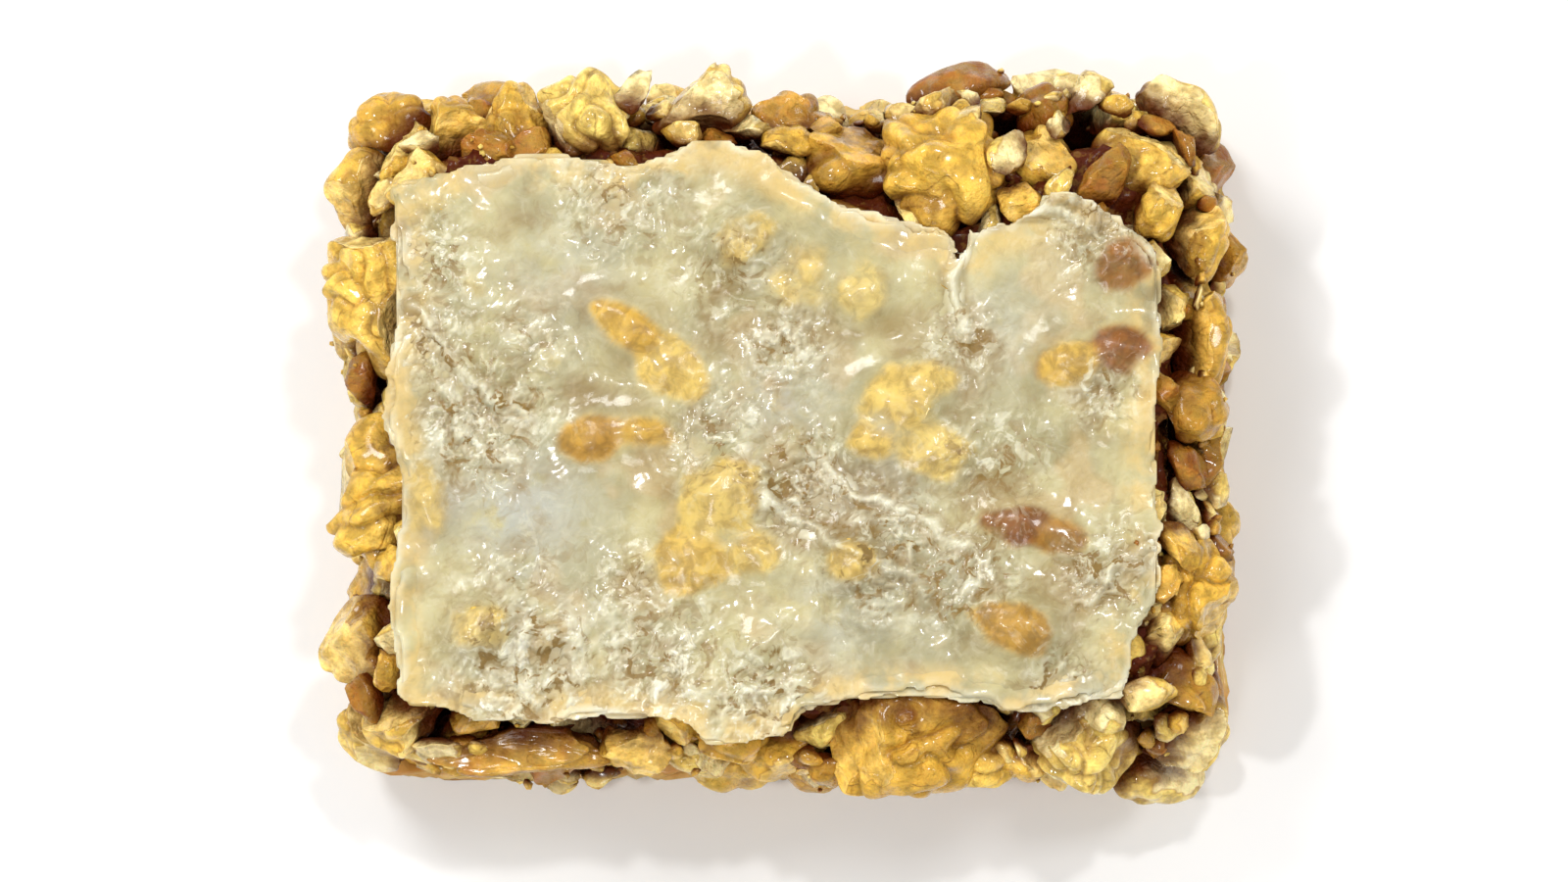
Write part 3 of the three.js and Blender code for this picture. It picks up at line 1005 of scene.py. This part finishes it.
def build_base(settings, finish):
    """The whole base: a stack of frayed sheets in one piece."""
    rng = random.Random(settings.seed)
    weights = [rng.uniform(0.7, 1.3) for _ in range(settings.sheets)]
    heights = [0.0] + list(itertools.accumulate(weights))
    scale = (BASE_HIGH.z - BASE_LOW.z) / heights[-1]
    stack = bmesh.new()
    for name in ("pale", "baked"):
        stack.verts.layers.float.new(name)
    for level, (low, high) in enumerate(zip(heights, heights[1:])):
        sheet = mesh_of(base_sheet(settings, rng, level, low * scale, high * scale), "sheet")
        stack.from_mesh(sheet)
        bpy.data.meshes.remove(sheet)
    bmesh.ops.triangulate(stack, faces=[face for face in stack.faces if len(face.verts) > 4])
    return add_piece(stack, "Base_pastry_sheets", finish, ["base_pastry"])


# ------------------------------------------------------------------------------------------------ walnuts


def build_meal(settings, finish):
    """The core of the filling: a rough block of coarse meal that stays behind the walnut pieces."""
    tree = solid_tree("nut_filling")
    bm = bmesh.new()
    bmesh.ops.create_cube(bm, size=2.0)
    bmesh.ops.subdivide_edges(bm, edges=bm.edges, cuts=84, use_grid_fill=True)
    deep = bm.verts.layers.float.new("deep")
    reach = BASE_HALF - Vector((1, 1, 1)) * settings.meal_inset
    low, least = FILLING_LOW.z - 0.25 * MM, 6 * MM
    for vert in bm.verts:
        u, v, share = vert.co.x, vert.co.y, (vert.co.z + 1) / 2
        # deep: how near the top of the meal a vertex lies, where the finish paints shade and syrup.
        vert[deep] = float(smoothstep(share, 0.7, 0.95))
        square = (abs(u) ** 8 + abs(v) ** 8) ** 0.125
        shrink = max(abs(u), abs(v)) / square if square else 1.0
        spot = Vector((MIDDLE.x + u * shrink * reach.x, MIDDLE.y + v * shrink * reach.y, 0.0))
        top = top_spot(tree, spot.x, spot.y)
        high = (top.z if top else low + least) - settings.meal_depth
        spot.z = low + share * (high - low)
        rough = noise.noise_vector(spot / (1.6 * MM)) * 0.8 + noise.noise_vector(spot / (0.6 * MM)) * 0.4
        vert.co = spot + rough * MM
        vert.co.z = max(vert.co.z, low)
    return add_piece(bm, "Walnut_meal", finish, ["nut_filling"])


def build_large_walnut(node, settings, finish):
    """One large piece of walnut in the place of its solid, with the folds and broken faces of a kernel."""
    rng = random.Random(f"{node}{settings.seed}")
    tree = solid_tree(node)
    low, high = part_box(node)
    centre = (low + high) / 2
    mean = sum(high - low) / 6
    bm = walnut_bmesh()
    bmesh.ops.create_icosphere(bm, subdivisions=6, radius=1.0)
    for vert in bm.verts:
        vert.co = (tree.ray_cast(centre, vert.co)[0] - centre) / mean
    soften(bm, bm.verts, 12)
    cuts = [(random_way(rng), rng.uniform(0.6, 0.85)) for _ in range(3)]
    carve(bm, rng, cuts, 1, 0.24, 0.62, 2)
    tone, proud = (bm.verts.layers.float[name] for name in ("tone", "proud"))
    out = way_out(centre)
    for vert in bm.verts:
        vert[tone] = LARGE_TONES[node]
        vert[proud] = vert.co.dot(out)
    bmesh.ops.scale(bm, vec=(mean, mean, mean), verts=bm.verts)
    bmesh.ops.translate(bm, vec=centre, verts=bm.verts)
    bmesh.ops.recalc_face_normals(bm, faces=bm.faces)
    return add_piece(bm, node.capitalize(), finish, [node])


def tabled_walnuts():
    """The walnut pieces with a place of their own, as (piece name, middle, half size, turn, tone, shows)."""
    tree = solid_tree("top_pastry")
    for x, y, length, width, turn, tone, shows in SEEN_WALNUTS:
        half = Vector((length, width, SEEN_THICKNESS * width)) * MM / 2
        middle = from_middle(x, y, 0.0)
        middle.z = top_spot(tree, middle.x, middle.y).z - SEEN_DEPTH - half.z
        yield "Walnuts_under_top_pastry", middle, half, turn, tone, shows
    for x, y, length, width, turn, tone, top in RIM_WALNUTS:
        half = Vector((length, width, RIM_THICKNESS * width)) * MM / 2
        yield "Walnuts_at_rim", from_middle(x, y, top * MM - half.z), half, turn, tone, RIM_SHOWS


def build_tabled_walnuts(settings, finish):
    """All the walnut pieces that have a place of their own, in one piece for each kind of place."""
    made = {}
    for name, middle, half, turn, tone, shows in tabled_walnuts():
        rng = random.Random(f"{turn} {tone} {settings.seed}")
        shape = walnut_shape("tabled", 5, rng, 0 if "under" in name else 3, half / MM, 2)
        bm = made.setdefault(name, walnut_bmesh())
        add_copy(bm, shape, middle, MM, Quaternion(UP, math.radians(turn)), tone, shows)
        bpy.data.meshes.remove(shape)
    for name, bm in made.items():
        add_piece(bm, name, finish)


def build_chopped(settings, finish):
    """The chopped walnuts over the sides and the top of the filling, largest first."""
    rng = random.Random(settings.seed)
    solid = merged_copy("nut_filling")
    spots = spots_on(solid, rng)
    top, cover = solid_tree("nut_filling"), solid_tree("top_pastry")
    counts = (settings.coarse, settings.medium, settings.fine)
    crowd = Crowd(sum(counts) + 100)
    for node in LARGE_WALNUTS:
        low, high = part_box(node)
        crowd.add((low + high) / 2, CROWD_SHARE * sum(high - low) / 6)
    for _, middle, half, *_ in tabled_walnuts():
        crowd.add(middle, CROWD_SHARE * sum(half) / 3)
    for x, y, radius in PITS:
        pit = from_middle(x, y, FILLING_HIGH.z)
        crowd.add(top_spot(top, pit.x, pit.y) or pit, PIT_ROOM * radius * MM)
    for (name, least, most, detail, shape_count, closeness), count in zip(CHOP_KINDS, counts):
        shapes = []
        for index in range(shape_count):
            thick = rng.uniform(0.36, 0.5) if index % 4 == 0 else rng.uniform(0.65, 0.95)
            half = Vector((1.15, rng.uniform(0.55, 0.95), thick))
            shapes.append(walnut_shape(name, detail, rng, rng.choice((2, 3, 4, 5)), half, detail // 4))
        bm = walnut_bmesh()
        for radius in sorted((rng.uniform(least, most) * MM for _ in range(count)), reverse=True):
            for _ in range(TRIES):
                spot, out = next(spots)
                while out.z > FACING_UP and radius < rng.uniform(0.8, 2.2) * MM:
                    spot, out = next(spots)
                depth = rng.uniform(0.35, 0.9) if out.z > FACING_UP else rng.uniform(-0.1, 0.6)
                if out.z > FACING_UP and top_spot(cover, spot.x, spot.y):
                    depth = rng.uniform(0.75, 1.15)
                centre = spot - out * (depth * radius)
                if crowd.fits(centre, radius, closeness):
                    break
            else:
                continue
            crowd.add(centre, radius)
            turn = lying(rng, out, 0.7)
            add_copy(bm, rng.choice(shapes), centre, radius, turn, nut_tone(rng), rng.uniform(0.0, 0.3))
        add_piece(bm, name, finish)
        for shape in shapes:
            bpy.data.meshes.remove(shape)
    solid.free()


def build_crumbs(settings, finish):
    """Crumbs that stick to the nuts and the meal near the cut sides."""
    rng = random.Random(settings.seed + 1)
    under = bmesh.new()
    for name in ["Walnut_meal"] + [kind[0] for kind in CHOP_KINDS]:
        under.from_mesh(bpy.data.objects[name].data)
    bmesh.ops.triangulate(under, faces=under.faces)
    shapes = [walnut_shape("crumb", 1, rng, 1, Vector((1.2, 0.8, 0.8)), 0) for _ in range(12)]
    spots = spots_on(under, rng)
    bm = walnut_bmesh()
    for _ in range(settings.crumbs):
        spot, out = next(spots)
        while all(abs(spot[n] - MIDDLE[n]) < BASE_HALF[n] - CRUMB_REACH for n in range(2)):
            spot, out = next(spots)
        radius = rng.triangular(*CRUMB_RADIUS, CRUMB_RADIUS[0]) * MM
        turn = Quaternion(random_way(rng), rng.uniform(0.0, math.tau))
        add_copy(bm, rng.choice(shapes), spot + 0.3 * radius * out, radius, turn, nut_tone(rng), 0.1)
    for shape in shapes:
        bpy.data.meshes.remove(shape)
    under.free()
    return add_piece(bm, "Walnut_crumbs", finish, smooth=False)


# --------------------------------------------------------------------------------------------- top pastry


class Bed:
    """What the top pastry lies on, as values on an even grid: heights, nut colours and where the sheet is."""

    def __init__(self, settings, names):
        margin = 4 * settings.step
        self.xs = np.arange(TOP_LOW.x - margin, TOP_HIGH.x + margin, settings.step)
        self.ys = np.arange(TOP_LOW.y - margin, TOP_HIGH.y + margin, settings.step)
        shape = (len(self.xs), len(self.ys))
        self.floor = np.full(shape, BASE_HIGH.z)
        self.nut = {name: np.zeros(shape) for name in WALNUT_ATTRIBUTES}
        self.look_down(names)
        self.heights = self.settle(settings)
        self.gap = self.heights - self.floor

    def look_down(self, names):
        """Finds what lies highest at each place."""
        bm = walnut_bmesh()
        for name in names:
            bm.from_mesh(bpy.data.objects[name].data)
        bm.faces.ensure_lookup_table()
        tree = BVHTree.FromBMesh(bm)
        layers = {name: bm.verts.layers.float[name] for name in WALNUT_ATTRIBUTES}
        for i, x in enumerate(self.xs):
            for j, y in enumerate(self.ys):
                place, _, index, _ = tree.ray_cast((x, y, ABOVE_ALL), -UP)
                if place is None:
                    continue
                self.floor[i, j] = place.z
                vert = bm.faces[index].verts[0]
                for name, layer in layers.items():
                    self.nut[name][i, j] = vert[layer]
        bm.free()

    def settle(self, settings):
        """A limp sheet lowered on the nuts: it hangs between them and rests on them."""
        heights = np.full_like(self.floor, self.floor.max())
        for _ in range(settings.rounds):
            heights = np.maximum(blurred(heights) - settings.sag, self.floor)
        return blurred(heights, 5)

    def nut_colours(self, settings):
        """The colour of the walnut finish at each place, as an array of red, green and blue."""
        def ramp(stops):
            positions = [position for position, _ in stops]
            channels = [[colour[c] for _, colour in stops] for c in range(3)]
            levels = [np.interp(self.nut["tone"], positions, channel) for channel in channels]
            return np.stack(levels, axis=-1)

        skin = 0.6 * self.nut["skin"][..., None]
        colours = ramp(flesh_stops(settings)) * (1 - skin) + ramp(skin_stops(settings)) * skin
        return colours * (0.75 + 0.25 * self.nut["fold"][..., None])


def blurred(values, rounds=1):
    """Each value of a grid replaced by the mean of its four neighbours, as often as asked."""
    for _ in range(rounds):
        padded = np.pad(values, ((1, 1), (1, 1)) + ((0, 0),) * (values.ndim - 2), mode="edge")
        values = (padded[2:, 1:-1] + padded[:-2, 1:-1] + padded[1:-1, 2:] + padded[1:-1, :-2]) / 4
    return values


def crinkles(x, y, seed, size):
    """Sharp creases in a few directions, each direction in its own patches, from 0 to about 1."""
    total = 0.0
    for n in range(4):
        angle = 0.4 + n * math.pi / 4
        along = x * math.cos(angle) + y * math.sin(angle)
        across = y * math.cos(angle) - x * math.sin(angle)
        patch = noise.noise(Vector((x / (4 * size), y / (4 * size), seed + 7.3 * n)))
        if patch < -0.05:
            continue
        bend = 0.6 * noise.noise(Vector((x / (2 * size), y / (2 * size), seed - n)))
        spot = Vector((along / (2.2 * size), across / (0.8 * size) + bend, seed + 3.1 * n))
        crease = abs(noise.noise(spot))
        total += min(1.0, 5 * (patch + 0.05)) * max(0.0, 1.0 - 5.0 * crease) ** 1.5
    return min(total, 1.4)


def fold_lines(x, y):
    """The rise of the long folds, the mask of the painted highlight on their crests and the mask of the
    painted shade in the ditches beside them, over a grid of places in mm from the middle.
    """
    rise, crest, crease = (np.zeros_like(x) for _ in range(3))
    for height, places in FOLDS:
        away = np.full_like(x, 99.0)
        for (start_x, start_y), (end_x, end_y) in zip(places, places[1:]):
            run_x, run_y = end_x - start_x, end_y - start_y
            share = ((x - start_x) * run_x + (y - start_y) * run_y) / (run_x**2 + run_y**2)
            share = np.clip(share, 0.0, 1.0)
            away = np.minimum(away, np.hypot(x - start_x - share * run_x, y - start_y - share * run_y))
        ridge = np.exp(-((away / FOLD_WIDTH) ** 2))
        ditch = np.exp(-(((away - DITCH_PLACE) / DITCH_WIDTH) ** 2))
        rise += height * (ridge - DITCH_SHARE * ditch)
        crest = np.maximum(crest, ridge)
        crease = np.maximum(crease, ditch)
    return rise, crest, crease


def near_marks(marks, x, y):
    """How near a place in mm from the middle lies to marks given as (x, y, reach, share)."""
    return max(
        share * math.exp(-((x - mark_x) ** 2 + (y - mark_y) ** 2) / reach**2)
        for mark_x, mark_y, reach, share in marks
    )


def top_grid(bed, settings, nuts, layer, stride, strength):
    """The whole sheet before its rim is torn: a grid draped over the bed and crinkled."""
    seed = settings.seed + 13.7 * layer
    columns, rows = len(bed.xs[::stride]), len(bed.ys[::stride])
    bm = bmesh.new()
    bmesh.ops.create_grid(bm, x_segments=columns - 1, y_segments=rows - 1, size=1.0)
    layers = {name: bm.verts.layers.float.new(name) for name in TOP_ATTRIBUTES}
    under = bm.verts.layers.float_color.new("under")
    colours = blurred(bed.nut_colours(nuts), 2)
    closeness = np.clip(1.5 * np.exp(-bed.gap / (0.5 * MM)) * bed.nut["shows"], 0.0, 1.0)
    closeness = blurred(closeness, 4)
    hollow_shades = blurred(smoothstep(bed.gap, 0.4 * MM, 2.4 * MM), 8)
    x, y = np.meshgrid((bed.xs - MIDDLE.x) / MM, (bed.ys - MIDDLE.y) / MM, indexing="ij")
    bends = [noise.noise_vector(Vector((0.6 * u, 0.6 * v, seed))) for u, v in zip(x.flat, y.flat)]
    bends = 0.9 * np.array(bends).reshape(*x.shape, 3)
    fold_rise, fold_highlight, fold_shade = fold_lines(x + bends[..., 0], y + bends[..., 1])
    for vert in bm.verts:
        i = round((vert.co.x + 1) / 2 * (columns - 1)) * stride
        j = round((vert.co.y + 1) / 2 * (rows - 1)) * stride
        x, y = float(bed.xs[i]), float(bed.ys[j])
        place = (x - MIDDLE.x) / MM, (y - MIDDLE.y) / MM
        amount = strength * (0.1 + 1.2 * near_marks(CRINKLED, *place))
        sharp = amount * crinkles(x / MM, y / MM, seed, 1.0)
        small = amount * crinkles(y / MM, x / MM, seed + 50, 0.5)
        dent = amount * crinkles(x / MM, y / MM, seed + 90, 0.8)
        swell = noise.noise(Vector((x / (2.6 * MM), y / (2.6 * MM), seed)))
        rise = settings.crinkle * (sharp + 0.4 * small - 0.5 * dent) + 0.14 * MM * swell
        rise += strength * MM * float(fold_rise[i, j])
        vert.co = Vector((x, y, float(bed.heights[i, j]) + layer * settings.spacing + max(rise, -0.12 * MM)))
        vert[layers["cling"]] = float(closeness[i, j])
        # The crests get painted highlight, the creases and the gaps painted shade.
        vert[layers["crest"]] = min(1.0, 0.8 * sharp + 0.4 * small + float(fold_highlight[i, j]))
        vert[layers["crease"]] = min(1.0, dent + 0.7 * float(fold_shade[i, j]))
        vert[layers["hollow"]] = float(hollow_shades[i, j])
        vert[layers["rough"]] = amount
        vert[layers["cool"]] = near_marks(COOL, *place)
        vert[layers["dull"]] = near_marks(DULL, *place)
        vert[under] = (*colours[i, j], 1.0)
    return bm


def tear(bm, settings, layer, inset):
    """Takes off what lies past the torn rim of the solid, and lifts the rim a little."""
    seed = settings.seed + 13.7 * layer
    outline = solid_tree("top_pastry")
    middle = (TOP_LOW + TOP_HIGH) / 2
    half = (TOP_HIGH - TOP_LOW) / 2
    grow = Vector((half.x / (half.x - inset), half.y / (half.y - inset), 1.0))

    def torn(place):
        along = ((place.y - MIDDLE.y) / MM - SLIT_END) / (SLIT_MOUTH - SLIT_END)
        aside = abs((place.x - MIDDLE.x) / MM - SLIT_X - 0.25 * math.sin(5.0 * along))
        if along > 0.0 and aside < max(SLIT_LEAST, SLIT_HALF_WIDTH * along):
            return True
        rough = 0.36 * MM * noise.noise(Vector((place.x, place.y, seed * MM)) / (1.7 * MM))
        fine = 0.2 * MM * noise.noise(Vector((place.y, place.x, seed * MM)) / (0.7 * MM))
        spot = middle + (place - middle) * grow
        return top_spot(outline, spot.x + rough + fine, spot.y + rough - fine) is None

    gone = [face for face in bm.faces if torn(face.calc_center_median())]
    bmesh.ops.delete(bm, geom=gone, context="FACES")
    rim = [vert for vert in bm.verts if vert.is_boundary]
    soften(bm, rim, 4)
    tree = KDTree(len(rim))
    for index, vert in enumerate(rim):
        tree.insert(vert.co, index)
    tree.balance()
    for vert in bm.verts:
        away = tree.find(vert.co)[2]
        curl = max(0.0, 0.15 + noise.noise(vert.co / (5 * MM) + Vector((seed, 0, 0))))
        patchy = 0.5 + noise.noise(vert.co / (1.8 * MM)) + noise.noise(vert.co / (6 * MM))
        near = 1.0 - float(smoothstep(away, 0.1 * MM, 0.55 * MM))
        # rim: a lighter line along the cut edge, partly the edge's own paler colour and partly painted
        # highlight.
        vert[bm.verts.layers.float["rim"]] = max(0.0, patchy) * near
        vert[bm.verts.layers.float["edge"]] = 1.0 - float(smoothstep(away, 0.8 * MM, 2.6 * MM))
        vert.co.z += 0.9 * MM * curl * (1.0 - float(smoothstep(away, 0.0, 1.6 * MM)))


def build_top(bed, settings, nuts, finish):
    """The sheets over the bed, each crinkled, torn and given its thickness."""
    for layer, (name, stride, inset, strength, replaced) in enumerate(TOP_SHEETS):
        bm = top_grid(bed, settings, nuts, layer, stride, strength)
        tear(bm, settings, layer, inset * MM)
        bmesh.ops.recalc_face_normals(bm, faces=bm.faces)
        if sum(face.normal.z for face in bm.faces) < 0:
            bmesh.ops.reverse_faces(bm, faces=bm.faces)
        bmesh.ops.solidify(bm, geom=bm.faces, thickness=settings.thickness)
        add_piece(bm, name, finish, replaced)


# ------------------------------------------------------------------------------------------------- stage


def add_light(name, place, size, power, target):
    """A square soft light that looks at the target."""
    lamp = bpy.data.lights.new(name, "AREA")
    lamp.shape = "SQUARE"
    lamp.size = size
    lamp.energy = power
    light = bpy.data.objects.new(name, lamp)
    light.location = place
    light.rotation_euler = (target - light.location).to_track_quat("-Z", "Y").to_euler()
    bpy.context.scene.collection.objects.link(light)


def build_stage(settings):
    """A pale floor, even light, three soft lights, two small ones and the camera almost straight above."""
    scene = bpy.context.scene
    bm = bmesh.new()
    bmesh.ops.create_grid(bm, x_segments=1, y_segments=1, size=1.5)
    bmesh.ops.translate(bm, vec=(0.0, 0.0, -0.02 * MM), verts=bm.verts)
    mesh = mesh_of(bm, "Floor")
    mesh.materials.append(Finish("Pale_floor", Base_Color=settings.floor, Roughness=0.8).material)
    floor = bpy.data.objects.new("Floor", mesh)
    scene.collection.objects.link(floor)
    floor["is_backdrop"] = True

    world = bpy.data.worlds.new("Studio")
    world.use_nodes = True
    world.node_tree.nodes["Background"].inputs["Strength"].default_value = settings.sky
    world.node_tree.nodes["Background"].inputs["Color"].default_value = (1.0, 1.0, 1.0, 1.0)
    scene.world = world
    scene.view_settings.view_transform = "Standard"

    low, high = CAD_BOX
    target = (low + high) / 2
    for name, place, size, share in LIGHTS:
        add_light(name, target + Vector(place), size, share * settings.power, target)

    camera = bpy.data.cameras.new("Camera")
    camera.sensor_width = 36.0
    offset = Vector((settings.aside, -settings.ahead, settings.distance))
    camera.lens = camera.sensor_width * offset.length / settings.frame_width
    camera.clip_end = 10.0
    stand = bpy.data.objects.new("Camera", camera)
    back = offset.normalized()
    right = Vector((0.0, 1.0, 0.0)).cross(back).normalized()
    turn = Matrix((right, back.cross(right), back)).transposed()
    stand.matrix_world = Matrix.Translation(target + offset) @ turn.to_4x4()
    scene.collection.objects.link(stand)
    scene.camera = stand


# ---------------------------------------------------------------------------------------------- operators


class BAKLAVA_OT_base_pastry(bpy.types.Operator):
    """Builds the stack of soaked sheets under the nuts"""

    bl_idname = "baklava.base_pastry"
    bl_label = "Base pastry"

    def execute(self, context):
        settings = context.scene.baklava_base
        build_base(settings, finish_named("Soaked_base_pastry", base_finish, settings))
        return {"FINISHED"}


class BAKLAVA_OT_walnut_meal(bpy.types.Operator):
    """Builds the core of the filling"""

    bl_idname = "baklava.walnut_meal"
    bl_label = "Walnut meal"

    def execute(self, context):
        settings = context.scene.baklava_nuts
        build_meal(settings, finish_named("Nut_meal_in_syrup", meal_finish, settings))
        return {"FINISHED"}


class BAKLAVA_OT_large_walnuts(bpy.types.Operator):
    """Builds the large walnut pieces at the rim and those that show through the top pastry"""

    bl_idname = "baklava.large_walnuts"
    bl_label = "Large walnuts"

    def execute(self, context):
        settings = context.scene.baklava_nuts
        finish = finish_named("Walnut_in_syrup", walnut_finish, settings)
        for node in LARGE_WALNUTS:
            build_large_walnut(node, settings, finish)
        build_tabled_walnuts(settings, finish)
        return {"FINISHED"}


class BAKLAVA_OT_chopped_walnuts(bpy.types.Operator):
    """Builds the chopped walnuts in three sizes"""

    bl_idname = "baklava.chopped_walnuts"
    bl_label = "Chopped walnuts"

    def execute(self, context):
        settings = context.scene.baklava_nuts
        build_chopped(settings, finish_named("Walnut_in_syrup", walnut_finish, settings))
        return {"FINISHED"}


class BAKLAVA_OT_walnut_crumbs(bpy.types.Operator):
    """Builds the crumbs that stick to the cut sides"""

    bl_idname = "baklava.walnut_crumbs"
    bl_label = "Walnut crumbs"

    def execute(self, context):
        settings = context.scene.baklava_nuts
        if "Walnut_meal" not in bpy.data.objects:
            raise RuntimeError("the crumbs stick to the walnut meal, so that is built first")
        build_crumbs(settings, finish_named("Walnut_in_syrup", walnut_finish, settings))
        return {"FINISHED"}


class BAKLAVA_OT_top_pastry(bpy.types.Operator):
    """Builds the sheer sheets that lie over the nuts"""

    bl_idname = "baklava.top_pastry"
    bl_label = "Top pastry"

    def execute(self, context):
        settings, nuts = context.scene.baklava_top, context.scene.baklava_nuts
        names = [name.capitalize() for name in LARGE_WALNUTS] + [kind[0] for kind in CHOP_KINDS]
        names += ["Walnut_meal", "Walnuts_under_top_pastry", "Walnuts_at_rim"]
        missing = [name for name in names if name not in bpy.data.objects]
        if missing:
            raise RuntimeError(f"the top pastry lies on {missing}, so they are built first")
        finish = finish_named("Sheer_top_pastry", top_finish, settings, nuts)
        build_top(Bed(settings, names), settings, nuts, finish)
        return {"FINISHED"}


class BAKLAVA_OT_stage(bpy.types.Operator):
    """Builds the floor, the lights and the camera"""

    bl_idname = "baklava.stage"
    bl_label = "Stage"

    def execute(self, context):
        build_stage(context.scene.baklava_stage)
        return {"FINISHED"}


STEPS = (
    BAKLAVA_OT_base_pastry,
    BAKLAVA_OT_walnut_meal,
    BAKLAVA_OT_large_walnuts,
    BAKLAVA_OT_chopped_walnuts,
    BAKLAVA_OT_walnut_crumbs,
    BAKLAVA_OT_top_pastry,
    BAKLAVA_OT_stage,
)


class BAKLAVA_PT_panel(bpy.types.Panel):
    """Lists the steps in the order in which they are run"""

    bl_idname = "BAKLAVA_PT_panel"
    bl_label = "Baklava"
    bl_space_type = "VIEW_3D"
    bl_region_type = "UI"
    bl_category = "Baklava"

    def draw(self, context):
        for step in STEPS:
            self.layout.operator(step.bl_idname)


SETTINGS = {
    "baklava_base": BaklavaBaseSettings,
    "baklava_nuts": BaklavaNutSettings,
    "baklava_top": BaklavaTopSettings,
    "baklava_stage": BaklavaStageSettings,
}


def register():
    for cls in (*SETTINGS.values(), *STEPS, BAKLAVA_PT_panel):
        bpy.utils.register_class(cls)
    for name, cls in SETTINGS.items():
        setattr(bpy.types.Scene, name, bpy.props.PointerProperty(type=cls))


def unregister():
    for name in SETTINGS:
        delattr(bpy.types.Scene, name)
    for cls in reversed((*SETTINGS.values(), *STEPS, BAKLAVA_PT_panel)):
        bpy.utils.unregister_class(cls)


def main():
    register()
    for step in STEPS:
        group, name = step.bl_idname.split(".")
        getattr(getattr(bpy.ops, group), name)()
    boxes = {"cad": CAD_BOX, "visual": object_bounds()}
    sizes = {name: [list(corner) for corner in box] for name, box in boxes.items()}


if __name__ == "__main__":
    main()
